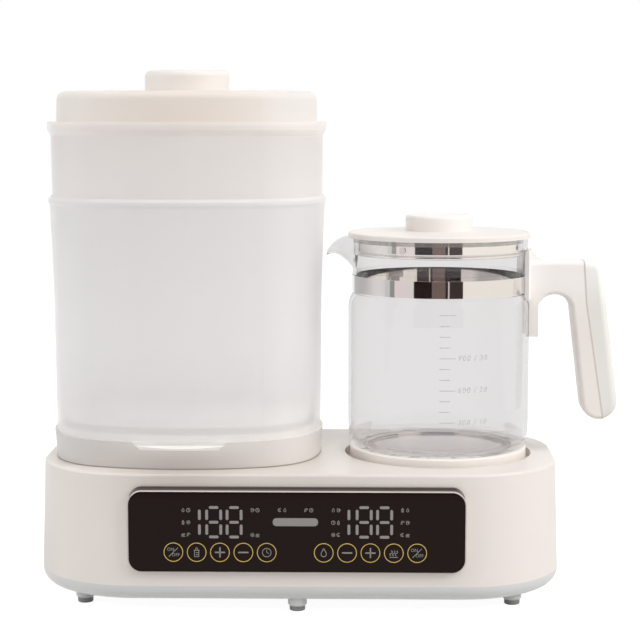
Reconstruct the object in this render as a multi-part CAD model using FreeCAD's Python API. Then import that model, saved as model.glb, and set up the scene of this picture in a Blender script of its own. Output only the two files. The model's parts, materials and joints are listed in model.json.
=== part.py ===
"""Combined baby bottle steriliser and formula kettle on one heated base, in millimetres.

The base housing carries two heaters, a drying blower and the touch panel. On its left stands a
stack of loose pieces: tray, bottle rack, tall chamber, accessory chamber and lid. On its right
a glass kettle stands on a raised ring round a steel heating plate.
+X is to the right seen from the panel, +Y to the back, +Z up. Shapes are modelled about the middle
of the base and moved by FRAME_SHIFT when they are written, so that the origin is at the middle of the
whole footprint, on the surface that the feet stand on.
"""

import FreeCAD, Part
import math
import os

from FreeCAD import Vector

# ---------------------------------------------------------------- base housing
STACK_MARGIN = 8.65
KETTLE_MARGIN = 17.75
DEPTH_MARGIN = 17.0
BASE_CORNER_R = 72.0
BASE_TOP_Z = 96.4
BASE_SEAM_Z = 19.5
BASE_UNDERSIDE_Z = 8.5
BASE_DRAFT_DEG = 1.9
BASE_WALL = 2.6
BASE_TOP_ROUND = 2.0
BASE_BOTTOM_ROUND = 10.4
TONGUE_HEIGHT = 3.0
TONGUE_THICKNESS = 1.0
TONGUE_ROOT = 2.0
SEAM_CLEARANCE = 0.2
VENT_SLOT_LENGTH = 26.0
VENT_SLOT_WIDTH = 4.0
VENT_SLOT_PITCH = 9.0
VENT_SLOTS = 7
VENT_ROW_Y = (-22.0, 10.0)

# ---------------------------------------------------------------- feet and housing screws
FOOT_INSET_X = 35.1
FOOT_INSET_Y = 32.0
FOOT_MIDDLE_INSET = 13.0
FOOT_BOSS_R = 6.5
FOOT_BOSS_CHAMFER = 0.9
FOOT_BOSS_HEIGHT = 23.5
FOOT_PAD_R = 5.4
FOOT_PAD_HEIGHT = 3.5
FOOT_PAD_ROUND = 0.8
FOOT_PLUG_R = 4.0
FOOT_PLUG_HEIGHT = 3.6
FOOT_PLUG_CLEARANCE = 0.2
SCREW_R = 1.7
SCREW_HEAD_R = 3.3
SCREW_HEAD_HEIGHT = 2.2
SCREW_BITE = 14.0
SCREW_CLEARANCE = 0.2
SCREW_PILOT = 0.05
POST_R = 4.6

# ---------------------------------------------------------------- touch panel
PANEL_WIDTH = 228.0
PANEL_HEIGHT = 54.6
PANEL_BELOW_TOP = 11.4
PANEL_CORNER_R = 8.8
PANEL_THICKNESS = 3.0
PANEL_BEVEL_DEPTH = 2.6
PANEL_BEVEL_HEIGHT = 4.2
PANEL_PROUD = 3.4
BEZEL_RIM = 0.9
BEZEL_LIP = 1.6
BEZEL_FIT = 0.1
BEZEL_BACK_REACH = 4.0
TUB_WALL = 1.8
TUB_LEDGE = 0.8
TUB_BACK_MARGIN = 0.6
WINDOW_MARGIN_X = 7.0
WINDOW_MARGIN_Z = 5.0
WINDOW_CORNER_R = 4.8
BOARD_THICKNESS = 1.6
BOARD_CORNER_R = 1.7
DIGIT_DEPTH = 5.0
DIGIT_WIDTH = 33.0
DIGIT_HEIGHT = 23.0
DIGIT_X = (-51.7, 49.8)
DIGIT_ABOVE_MIDDLE = 7.3
BAR_WIDTH = 31.0
BAR_HEIGHT = 6.0
KEY_PITCH = 15.8
KEY_FIRST_X = (-83.5, 18.4)
KEYS_PER_SIDE = 5
KEY_BELOW_MIDDLE = 13.7
KEY_SPRING_R = 3.2
KEY_SPRING_WIRE = 0.8
KEY_SPRING_FACE = 1.0
PART_GAP = 0.3

# ---------------------------------------------------------------- electronics under the kettle
POWER_BOARD_LENGTH = 100.0
POWER_BOARD_DEPTH = 72.0
POWER_BOARD_Y = -4.0
POWER_BOARD_HEIGHT = 9.0
STANDOFF_R = 3.0
STANDOFF_INSET = 6.0
RELAY_SIZE = (19.0, 15.0, 16.0)
RELAY_PLACES = ((-42.0, -30.0), (-18.0, -30.0))
TRANSFORMER_SIZE = (26.0, 22.0, 20.0)
TRANSFORMER_PLACE = (10.0, -32.0)
CAPACITOR_R = 8.0
CAPACITOR_HEIGHT = 22.0
CAPACITOR_PLACE = (-32.0, 12.0)
TERMINAL_SIZE = (42.0, 10.0, 12.0)
TERMINAL_PLACE = (-8.0, 18.0)

# ---------------------------------------------------------------- kettle station
SEAT_RING_INSET = 1.4
SEAT_RECESS_GAP = 3.7
SEAT_RECESS_DEPTH = 6.0
SEAT_FLOOR = 2.4
SEAT_RING_WIDTH = 10.0
SEAT_OPENING_INSET = 7.4
SEAT_OPENING_CLEARANCE = 0.4
SEAT_RING_PROUD = 5.3
SEAT_RING_ROUND = 1.0
SEAT_LEDGE_WIDTH = 3.0
SEAT_LEDGE_THICKNESS = 2.0
PLATE_THICKNESS = 1.5
PLATE_ROUND = 0.4
PLATE_RIM_RISE = 1.5
PLATE_RIM_WALL = 1.0
PLATE_DROP = 1.9
PLATE_SEAL_WALL = 1.9
PLATE_SEAL_THICKNESS = 1.4
ELEMENT_TUBE_R = 3.6
ELEMENT_LOOP_R = 36.0
ELEMENT_GAP_DEG = 40.0
ELEMENT_END_LENGTH = 9.0
THERMOSTAT_R = 9.0
THERMOSTAT_HEIGHT = 7.0
THERMOSTAT_EARS = (30.0, 6.0, 1.2)

# ---------------------------------------------------------------- steriliser oval, at the tray's foot
OVAL_HALF_WIDTH = 94.9
OVAL_HALF_DEPTH = 76.0
OVAL_SIDE_R = 118.0
OVAL_FRONT_R = 178.0
OVAL_CORNER_R = 52.0

# ---------------------------------------------------------------- steriliser heater and hot air
DISH_SIDE_ROOM = 39.9
DISH_DEPTH = 11.0
DISH_WALL = 1.0
DISH_FLANGE = 6.0
DISH_CORNER = 4.0
DISH_CLEARANCE = 0.5
DISH_SEAL_THICKNESS = 0.8
LOCATOR_INSET = 6.5
LOCATOR_WALL = 2.4
LOCATOR_HEIGHT = 4.0
AIR_SLOT_INSET = 21.9
AIR_SLOT_WIDTH = 12.0
AIR_SLOT_LENGTH = 44.0
CHIMNEY_WALL = 1.6
CHIMNEY_HEIGHT = 12.0

# ---------------------------------------------------------------- blower, filter and cord outlet
BLOWER_Y = 36.0
BLOWER_R = 36.0
BLOWER_Z = 24.0
BLOWER_HEIGHT = 30.0
BLOWER_WALL = 1.8
BLOWER_INLET_R = 19.0
BLOWER_OUTLET_WIDTH = 22.0
BLOWER_OUTLET_INSET = 3.0
BLOWER_POST_R = 3.0
BLOWER_POST_SPREAD = 22.0
IMPELLER_R = 27.0
IMPELLER_HEIGHT = 18.0
IMPELLER_LIFT = 2.0
IMPELLER_PLATE = 1.6
IMPELLER_RIM = 2.0
IMPELLER_HUB_R = 7.0
IMPELLER_HUB_HEIGHT = 11.0
IMPELLER_BLADES = 14
IMPELLER_BLADE_LENGTH = 11.0
IMPELLER_BLADE_THICKNESS = 1.2
IMPELLER_BLADE_DEG = 28.0
IMPELLER_BLADE_INSET = 0.6
MOTOR_R = 12.0
MOTOR_HEIGHT = 12.4
MOTOR_NECK_R = 3.0
MOTOR_SHAFT_R = 1.5
SHAFT_CLEARANCE = 0.05
DUCT_LENGTH = 34.0
RISER_WIDTH = 18.0
PLENUM_BELOW_TOP = 33.0
HEATER_LENGTH = 14.0
HEATER_SETBACK = 4.0
HEATER_FIN_PITCH = 4.0
HEATER_FIN_GAP = 1.6
HEATER_FIN_WIDTH = 12.0
HEATER_FINS = 5
FILTER_X = 54.0
FILTER_Z = 53.0
FILTER_WIDTH = 84.0
FILTER_HEIGHT = 40.0
FILTER_CORNER_R = 5.0
FILTER_GAP = 0.5
FILTER_COVER_THICKNESS = 2.6
GRILLE_SLOT_WIDTH = 4.0
GRILLE_SLOT_MARGIN = 6.0
GRILLE_SLOT_PITCH = 8.0
GRILLE_SLOTS = 9
FILTER_FRAME_DEPTH = 9.0
FILTER_FRAME_INSET = 1.5
FILTER_FRAME_WALL = 2.0
FILTER_PLEATS = 13
FILTER_PAPER = 1.0
FILTER_PAPER_MARGIN = 1.0
CORD_INSET = 56.0
CORD_Z = 33.0
CORD_BORE_R = 3.5
CORD_BUSHING_WIDTH = 13.0
CORD_BUSHING_CORNER_R = 2.0
CORD_FLANGE_WIDTH = 17.0
CORD_FLANGE_CORNER_R = 3.5
CORD_FLANGE_THICKNESS = 1.6
CORD_BUSHING_LENGTH = 12.0

# ---------------------------------------------------------------- steriliser stack
STACK_GAP = 0.4
TRAY_HEIGHT = 19.1
TRAY_FLARE = 1.5
TRAY_WALL = 2.4
TRAY_FLOOR_HEIGHT = 6.6
TRAY_FLOOR = 2.0
TRAY_OPENING_INSET = 15.0
TRAY_OPENING_RIM = 2.0
TRAY_LEDGE_WIDTH = 5.0
TRAY_LEDGE_HEIGHT = 6.0
TRAY_LEDGE_THICKNESS = 2.0
SPIGOT_HEIGHT = 4.0
SPIGOT_WALL = 1.6
HOOD_WALL = 1.6
HOOD_ROOM = 3.4
LOUVRE_WIDTH = 5.0
LOUVRE_PITCH = 9.0
LOUVRE_HEIGHT = 4.4
LOUVRES = 4
SCOOP_WIDTH = 78.0
SCOOP_HEIGHT = 4.5
SCOOP_DEPTH = 3.0
SCOOP_END_SLOPE = 6.0

CHAMBER_HEIGHT = 166.0
CHAMBER_WALL = 2.2
CHAMBER_FOOT_GROW = -0.2
CHAMBER_WAIST_GROW = 0.8
CHAMBER_WAIST_HEIGHT = 108.0
CHAMBER_HEAD_GROW = 2.7
CHAMBER_LIP_GROW = 3.7
CHAMBER_LIP_HEIGHT = 4.0
CHAMBER_LIP_SLOPE = 2.5
CHAMBER_LIP_CHAMFER = 1.4
CHAMBER_LIP_LAND = 1.8
CHAMBER_STEP_WALL = 1.8
CHAMBER_MOUTH_DEPTH = 4.5

UPPER_HEIGHT = 56.5
UPPER_WALL = 2.0
UPPER_FOOT_GROW = 0.9
UPPER_HEAD_GROW = 1.4
UPPER_LIP_GROW = 3.7
UPPER_LIP_HEIGHT = 5.5
UPPER_LIP_SLOPE = 4.0
UPPER_FLOOR = 2.0
UPPER_SLOT_WIDTH = 5.0
UPPER_SLOT_LENGTH = 40.0
UPPER_SLOT_PITCH = 15.0
UPPER_SLOT_ROW_Y = 29.0
UPPER_SLOT_COLUMNS = 9

LID_HEIGHT = 21.3
LID_SEAT_DEPTH = 2.6
LID_FLANGE = 1.8
LID_FLANGE_GROW = 0.6
LID_FOOT_GROW = -2.4
LID_HEAD_GROW = -3.3
LID_WALL = 2.2
LID_TOP_ROUND = 6.0
LID_PLUG_DEPTH = 5.0
LID_PLUG_WALL = 1.8
LID_VENT_WIDTH = 3.0
LID_VENT_LENGTH = 16.0
LID_VENT_PITCH = 8.0
LID_VENTS = 6
LID_VENT_Y = 50.0
KNOB_R = 29.9
KNOB_HEIGHT = 14.6
KNOB_ROUND = 4.2
KNOB_WALL = 2.4
KNOB_BOSS_R = 5.0
KNOB_SCREW_R = 1.6
KNOB_SCREW_HEAD_R = 4.0
KNOB_SCREW_HEAD_HEIGHT = 2.0
KNOB_SCREW_HEAD_ROUND = 1.2
KNOB_SCREW_BITE = 8.0

RACK_CLEARANCE = 3.0
RACK_HEIGHT = 19.0
RACK_PLATE = 2.4
RACK_RIM_HEIGHT = 7.0
RACK_RIM_WALL = 1.8
RACK_LEG_R = 3.0
RACK_LEG_X = 29.0
RACK_LEG_Y = 50.0
RACK_CELL_PITCH_X = 58.0
RACK_CELL_PITCH_Y = 62.0
RACK_CELL_COLUMNS = 3
RACK_HOLE_R = 7.0
RACK_PRONGS = 4
RACK_PRONG_CIRCLE_R = 13.0
RACK_PRONG_R = 2.2
RACK_PRONG_TIP_R = 1.2
RACK_PRONG_HEIGHT = 20.0

# ---------------------------------------------------------------- kettle, heights above the glass's foot
GLASS_BODY_R = 64.8
GLASS_FOOT_STEP = 0.5
GLASS_NECK_STEP = 3.2
GLASS_RIM_FLARE = 2.2
GLASS_WALL = 2.0
GLASS_FLOOR = 3.0
GLASS_FOOT_ROUND = 5.0
GLASS_BELLY_HEIGHT = 22.0
GLASS_SHOULDER_HEIGHT = 100.3
GLASS_NECK_HEIGHT = 110.3
GLASS_FLARE_HEIGHT = 126.0
GLASS_HEIGHT = 149.9
GLASS_PUNT_DEPTH = 0.8
GLASS_PUNT_R = 50.0
SPOUT_REACH = 80.2
SPOUT_CLEARANCE = 0.8
SPOUT_TIP_DROP = 10.4
SPOUT_CREST_BOW = 3.0
SPOUT_TIP_HALF_WIDTH = 4.0
SPOUT_ROOT_HALF_WIDTH = 25.0
SPOUT_ROOT_DEPTH = 33.8
SPOUT_TIP_DEPTH = 2.6
SPOUT_TAPER = 1.1
SPOUT_SECTIONS = 7
SPOUT_BURIED = 10.0
SPOUT_WALL = 1.5
COLLAR_CLEARANCE = 0.15
COLLAR_THICKNESS = 0.8
COLLAR_FOOT_HEIGHT = 111.5
COLLAR_BAND = 11.7
LUG_LENGTH = 11.6
LUG_HALF_WIDTH = 4.0
LUG_MARGIN = 1.4
LUG_SCREW_BITE = 7.0
LUG_SCREW_ROOM = 1.0

KETTLE_LID_OVERHANG = 1.2
KETTLE_LID_THICKNESS = 3.7
KETTLE_LID_CROWN = 1.1
KETTLE_LID_ROUND = 1.2
KETTLE_LID_WALL = 2.0
CUP_CLEARANCE = 1.9
CUP_WALL = 0.8
CUP_DEPTH = 10.2
CUP_ROUND = 1.6
CUP_SEAL_THICKNESS = 0.7
CUP_SEAL_HEIGHT = 3.2
CLIP_FIRST_DEG = -117.0
CLIPS = 4
CLIP_WIDTH = 4.4
CLIP_HEIGHT = 5.0
CLIP_THICKNESS = 0.6
KETTLE_KNOB_R = 23.9
KETTLE_KNOB_HEIGHT = 11.0
KETTLE_KNOB_ROUND = 2.2
KETTLE_KNOB_WALL = 2.0
KETTLE_SCREW_BITE = 5.5

# ---------------------------------------------------------------- handle, reaches from the glass's side
HANDLE_HALF_WIDTH = 11.5
HANDLE_TOP_HEIGHT = 133.5
HANDLE_ARM_REACH = 43.7
HANDLE_CORNER_R = 7.5
SEAM_TOP_REACH = 38.7
SEAM_BEND_REACH = 40.7
SEAM_BEND_HEIGHT = 103.3
SEAM_FOOT_DEG = -75.0
GRIP_ROOT_REACH = 28.9
ARCH_FOOT_HEIGHT = 100.3
ARCH_TOP_HEIGHT = 109.5
GRIP_END_REACH = 50.1
GRIP_END_HEIGHT = 32.5
GRIP_END_R = 12.9
GRIP_COVER_ROUND = 5.0
GRIP_INNER_ROUND = 3.5
BRACKET_HALF_DEG = 17.5
BRACKET_THICKNESS = 3.2
BRACKET_FOOT_HEIGHT = 106.3
BRACKET_HEAD_HEIGHT = 141.3
GUSSET_REACH = 10.7
GUSSET_SAG = 1.2
PAD_THICKNESS = 5.7
PAD_FOOT_HEIGHT = 79.3
HANDLE_GAP = 0.1
HANDLE_SCREW_SINK = 2.0

# ---------------------------------------------------------------- what follows from the sizes above
SEAT_RING_R = GLASS_BODY_R - SEAT_RING_INSET
SEAT_RECESS_R = SEAT_RING_R + SEAT_RECESS_GAP
SEAT_BORE_R = SEAT_RING_R - SEAT_RING_WIDTH
SEAT_OPENING_R = SEAT_RING_R - SEAT_OPENING_INSET
PLATE_R = SEAT_BORE_R - PLATE_SEAL_WALL
DISH_R = OVAL_HALF_WIDTH - DISH_SIDE_ROOM
TRAY_OPENING_R = DISH_R - TRAY_OPENING_INSET
STACK_TO_KETTLE = OVAL_HALF_WIDTH + CHAMBER_LIP_GROW + SPOUT_CLEARANCE + SPOUT_REACH
BASE_WIDTH = STACK_MARGIN + OVAL_HALF_WIDTH + STACK_TO_KETTLE + SEAT_RECESS_R + KETTLE_MARGIN
BASE_DEPTH = 2 * (OVAL_HALF_DEPTH + DEPTH_MARGIN)
HALF_WIDTH = BASE_WIDTH / 2
HALF_DEPTH = BASE_DEPTH / 2
STACK_X = STACK_MARGIN + OVAL_HALF_WIDTH - HALF_WIDTH
KETTLE_X = STACK_X + STACK_TO_KETTLE
BASE_CEILING_Z = BASE_TOP_Z - BASE_WALL
BASE_FLOOR_Z = BASE_UNDERSIDE_Z + BASE_WALL
FOOT_BOSS_TOP_Z = FOOT_PAD_HEIGHT + FOOT_BOSS_HEIGHT
SCREW_HEAD_Z = FOOT_PAD_HEIGHT + FOOT_PLUG_HEIGHT + FOOT_PLUG_CLEARANCE
TOP_INSET = (BASE_TOP_Z - BASE_SEAM_Z) * math.tan(math.radians(BASE_DRAFT_DEG))
PANEL_Z = BASE_TOP_Z - PANEL_BELOW_TOP - PANEL_HEIGHT / 2
PANEL_FRONT_Y = -(HALF_DEPTH + PANEL_PROUD)
PANEL_BACK_Y = PANEL_FRONT_Y + PANEL_THICKNESS
BOARD_Y = PANEL_BACK_Y + DIGIT_DEPTH + PART_GAP
WINDOW_WIDTH = PANEL_WIDTH - 2 * WINDOW_MARGIN_X
WINDOW_HEIGHT = PANEL_HEIGHT - 2 * WINDOW_MARGIN_Z
TUB_WIDTH = WINDOW_WIDTH - 2 * PART_GAP
TUB_HEIGHT = WINDOW_HEIGHT - 2 * PART_GAP
POWER_BOARD_Z = BASE_FLOOR_Z + POWER_BOARD_HEIGHT
RECESS_FLOOR_Z = BASE_TOP_Z - SEAT_RECESS_DEPTH
GLASS_FOOT_Z = BASE_TOP_Z + SEAT_RING_PROUD
PLATE_TOP_Z = GLASS_FOOT_Z - PLATE_DROP
PLATE_UNDER_Z = PLATE_TOP_Z - PLATE_THICKNESS
SEAT_LEDGE_Z = PLATE_UNDER_Z - PLATE_SEAL_THICKNESS
DISH_RIM_Z = BASE_TOP_Z + DISH_SEAL_THICKNESS
DISH_FLOOR_Z = DISH_RIM_Z - DISH_DEPTH
AIR_SLOT_X = STACK_X + OVAL_HALF_WIDTH - AIR_SLOT_INSET
CHIMNEY_TOP_Z = BASE_TOP_Z + CHIMNEY_HEIGHT
BLOWER_X = AIR_SLOT_X + BLOWER_R - BLOWER_OUTLET_INSET - BLOWER_OUTLET_WIDTH / 2
BLOWER_TOP_Z = BLOWER_Z + BLOWER_HEIGHT
FILTER_BACK_Y = HALF_DEPTH - FILTER_COVER_THICKNESS - TOP_INSET / 2
CORD_X = HALF_WIDTH - CORD_INSET
TRAY_TOP_Z = BASE_TOP_Z + TRAY_HEIGHT
TRAY_FLOOR_Z = BASE_TOP_Z + TRAY_FLOOR_HEIGHT
SPIGOT_GROW = CHAMBER_FOOT_GROW - CHAMBER_WALL - STACK_GAP
CHAMBER_TOP_Z = TRAY_TOP_Z + CHAMBER_HEIGHT
UPPER_FOOT_Z = CHAMBER_TOP_Z - CHAMBER_MOUTH_DEPTH
UPPER_TOP_Z = UPPER_FOOT_Z + UPPER_HEIGHT
LID_SEAT_Z = UPPER_TOP_Z - LID_SEAT_DEPTH
LID_TOP_Z = UPPER_TOP_Z + LID_HEIGHT
RACK_Z = TRAY_FLOOR_Z + TRAY_FLOOR + RACK_HEIGHT
GLASS_FOOT_R = GLASS_BODY_R - GLASS_FOOT_STEP
GLASS_NECK_R = GLASS_BODY_R - GLASS_NECK_STEP
GLASS_RIM_R = GLASS_NECK_R + GLASS_RIM_FLARE
KETTLE_LID_R = GLASS_RIM_R + KETTLE_LID_OVERHANG
GLASS_RIM_Z = GLASS_FOOT_Z + GLASS_HEIGHT
SPOUT_TIP_Z = GLASS_RIM_Z - SPOUT_TIP_DROP
COLLAR_BORE_R = GLASS_NECK_R + COLLAR_CLEARANCE
COLLAR_R = COLLAR_BORE_R + COLLAR_THICKNESS
COLLAR_FOOT_Z = GLASS_FOOT_Z + COLLAR_FOOT_HEIGHT
COLLAR_HEAD_Z = COLLAR_FOOT_Z + COLLAR_BAND
LUG_REACH = COLLAR_R + LUG_LENGTH
CUP_R = GLASS_RIM_R - GLASS_WALL - CUP_CLEARANCE
CUP_FOOT_Z = GLASS_RIM_Z - CUP_DEPTH
KETTLE_LID_TOP_Z = GLASS_RIM_Z + KETTLE_LID_THICKNESS + KETTLE_LID_CROWN
HANDLE_TOP_Z = GLASS_FOOT_Z + HANDLE_TOP_HEIGHT
HANDLE_ARM_END = GLASS_BODY_R + HANDLE_ARM_REACH
SEAM_TOP = (GLASS_BODY_R + SEAM_TOP_REACH, HANDLE_TOP_Z)
SEAM_BEND = (GLASS_BODY_R + SEAM_BEND_REACH, GLASS_FOOT_Z + SEAM_BEND_HEIGHT)
GRIP_END_X = GLASS_BODY_R + GRIP_END_REACH
GRIP_END_Z = GLASS_FOOT_Z + GRIP_END_HEIGHT
PAD_X = GLASS_BODY_R + PAD_THICKNESS
SCREW_SHELF = SEAM_TOP[0] - SCREW_HEAD_HEIGHT - HANDLE_SCREW_SINK
HANDLE_REACH = GRIP_END_X + GRIP_END_R
FRAME_SHIFT = Vector(
    -(KETTLE_X + HANDLE_REACH - HALF_WIDTH) / 2,
    -(PANEL_FRONT_Y + HALF_DEPTH + CORD_FLANGE_THICKNESS) / 2,
    0,
)
SMALL = 0.01
BEYOND = 1.0
FAR = 600.0


# ================================================================ drawing helpers
def arc(start, middle, end):
    return Part.Arc(start, middle, end).toShape()


def line(start, end):
    return Part.LineSegment(start, end).toShape()


def oval_centres():
    """Centres of the side, front and corner arcs of the steriliser's oval, first quadrant."""
    side = Vector(OVAL_HALF_WIDTH - OVAL_SIDE_R, 0, 0)
    front = Vector(0, OVAL_HALF_DEPTH - OVAL_FRONT_R, 0)
    to_side = OVAL_SIDE_R - OVAL_CORNER_R
    to_front = OVAL_FRONT_R - OVAL_CORNER_R
    between = front.sub(side)
    span = between.Length
    along = (to_side**2 - to_front**2 + span**2) / (2 * span)
    across = math.sqrt(to_side**2 - along**2)
    unit = Vector(between).normalize()
    corner = side + unit * along + Vector(unit.y, -unit.x, 0) * across
    if corner.y < 0:
        corner = side + unit * along - Vector(unit.y, -unit.x, 0) * across
    return side, front, corner


def oval_wire(grow, z):
    """The steriliser's plan outline of eight tangent arcs, grown outwards by grow, at height z."""
    side, front, corner = oval_centres()
    to_side = (corner - side).normalize()
    to_front = (corner - front).normalize()
    side_end = side + to_side * (OVAL_SIDE_R + grow)
    front_end = front + to_front * (OVAL_FRONT_R + grow)
    corner_middle = corner + (to_side + to_front).normalize() * (OVAL_CORNER_R + grow)
    side_middle = Vector(OVAL_HALF_WIDTH + grow, 0, 0)
    front_middle = Vector(0, OVAL_HALF_DEPTH + grow, 0)

    def at(point, sx, sy):
        return Vector(STACK_X + sx * point.x, sy * point.y, z)

    edges = []
    for sx, sy in ((1, 1), (-1, 1), (-1, -1), (1, -1)):
        quarter = [
            arc(at(side_end, sx, sy), at(corner_middle, sx, sy), at(front_end, sx, sy)),
        ]
        if sx > 0:
            quarter.append(
                arc(at(front_end, 1, sy), at(front_middle, 1, sy), at(front_end, -1, sy))
            )
        if sy > 0:
            quarter.append(arc(at(side_end, sx, -1), at(side_middle, sx, 1), at(side_end, sx, 1)))
        edges += quarter
    return Part.Wire(Part.__sortEdges__(edges))


def rounded_wire(width, depth, radius, z, x=0.0, y=0.0):
    """A rectangle with round corners, level, about (x, y)."""
    w, d, r = width / 2, depth / 2, radius
    k = r * (1 - math.sqrt(0.5))

    def at(px, py):
        return Vector(x + px, y + py, z)

    return Part.Wire(
        [
            line(at(w, -d + r), at(w, d - r)),
            arc(at(w, d - r), at(w - k, d - k), at(w - r, d)),
            line(at(w - r, d), at(-w + r, d)),
            arc(at(-w + r, d), at(-w + k, d - k), at(-w, d - r)),
            line(at(-w, d - r), at(-w, -d + r)),
            arc(at(-w, -d + r), at(-w + k, -d + k), at(-w + r, -d)),
            line(at(-w + r, -d), at(w - r, -d)),
            arc(at(w - r, -d), at(w - k, -d + k), at(w, -d + r)),
        ]
    )


def prism(wire, height):
    return Part.Face(wire).extrude(Vector(0, 0, height))


def loft(lower, upper):
    return Part.makeLoft([lower, upper], True, True)


def oval_stack(*levels):
    """A solid through oval outlines given as (grow, z) pairs, from the lowest to the highest."""
    return join([loft(oval_wire(*a), oval_wire(*b)) for a, b in zip(levels, levels[1:])])


def cylinder(radius, z0, z1, x=0.0, y=0.0):
    return Part.makeCylinder(radius, z1 - z0, Vector(x, y, z0))


def ring(outer, inner, z0, z1, x=0.0, y=0.0):
    return cylinder(outer, z0, z1, x, y).cut(cylinder(inner, z0 - BEYOND, z1 + BEYOND, x, y))


def box(x0, x1, y0, y1, z0, z1):
    return Part.makeBox(x1 - x0, y1 - y0, z1 - z0, Vector(x0, y0, z0))


def block_on(size, x, y, z):
    """A box of the given size with its lowest corner at (x, y, z)."""
    return Part.makeBox(*size, Vector(x, y, z))


def slot(length, width, z0, z1, x, y):
    """A level slot along Y with round ends, as a solid between two heights."""
    return prism(rounded_wire(width, length, width / 2 - SMALL, z0, x, y), z1 - z0)


def upright_slab(width, height, radius, y0, y1, x, z):
    """A plate with round corners that stands square to the Y axis, about (x, z)."""
    wire = rounded_wire(width, height, radius, 0)
    wire.rotate(Vector(0, 0, 0), Vector(1, 0, 0), 90)
    wire.translate(Vector(x, y0, z))
    return Part.Face(wire).extrude(Vector(0, y1 - y0, 0))


def lathe(edges, x=0.0):
    """A solid of revolution about a vertical axis. The edges lie in the XZ plane, about X = 0."""
    face = Part.Face(Part.Wire(Part.__sortEdges__(edges)))
    solid = face.revolve(Vector(0, 0, 0), Vector(0, 0, 1), 360)
    solid.translate(Vector(x, 0, 0))
    return solid


def outline(*points):
    """Straight edges through (radius, height) points, closed."""
    corners = [Vector(r, 0, z) for r, z in points]
    return [line(a, b) for a, b in zip(corners, corners[1:] + corners[:1])]


def join(pieces):
    whole = pieces[0]
    if len(pieces) > 1:
        whole = whole.multiFuse(pieces[1:])
    return whole.removeSplitter()


def cut_all(whole, tools):
    return whole.cut(tools)


def round_edges(solid, radius, wanted):
    """Fillets the edges for which wanted(edge) is true."""
    return solid.makeFillet(radius, [edge for edge in solid.Edges if wanted(edge)])


def level_at(z):
    """Picks the edges that lie level at height z."""

    def wanted(edge):
        limits = edge.BoundBox
        return abs(limits.ZMin - z) < SMALL and abs(limits.ZMax - z) < SMALL

    return wanted


# ================================================================ base housing
def base_outline(inset, z):
    """The housing's plan outline at height z, following the draft, inset by a wall."""
    drafted = inset + max(z - BASE_SEAM_Z, 0) * math.tan(math.radians(BASE_DRAFT_DEG))
    return rounded_wire(
        BASE_WIDTH - 2 * drafted, BASE_DEPTH - 2 * drafted, BASE_CORNER_R - drafted, z
    )


def housing_block():
    """The upper housing's outer form, solid."""
    block = loft(base_outline(0, BASE_SEAM_Z), base_outline(0, BASE_TOP_Z))
    return round_edges(block, BASE_TOP_ROUND, level_at(BASE_TOP_Z))


def foot_places():
    side_x, side_y = HALF_WIDTH - FOOT_INSET_X, HALF_DEPTH - FOOT_INSET_Y
    middle_y = HALF_DEPTH - FOOT_MIDDLE_INSET
    corners = [(sx * side_x, sy * side_y) for sx in (-1, 1) for sy in (-1, 1)]
    return corners + [(0, -middle_y), (0, middle_y)]


def air_slot(grow, z0, z1):
    """The hot air's slot, or a wall round it, as a solid between two heights."""
    return slot(AIR_SLOT_LENGTH + 2 * grow, AIR_SLOT_WIDTH + 2 * grow, z0, z1, AIR_SLOT_X, 0)


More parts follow.
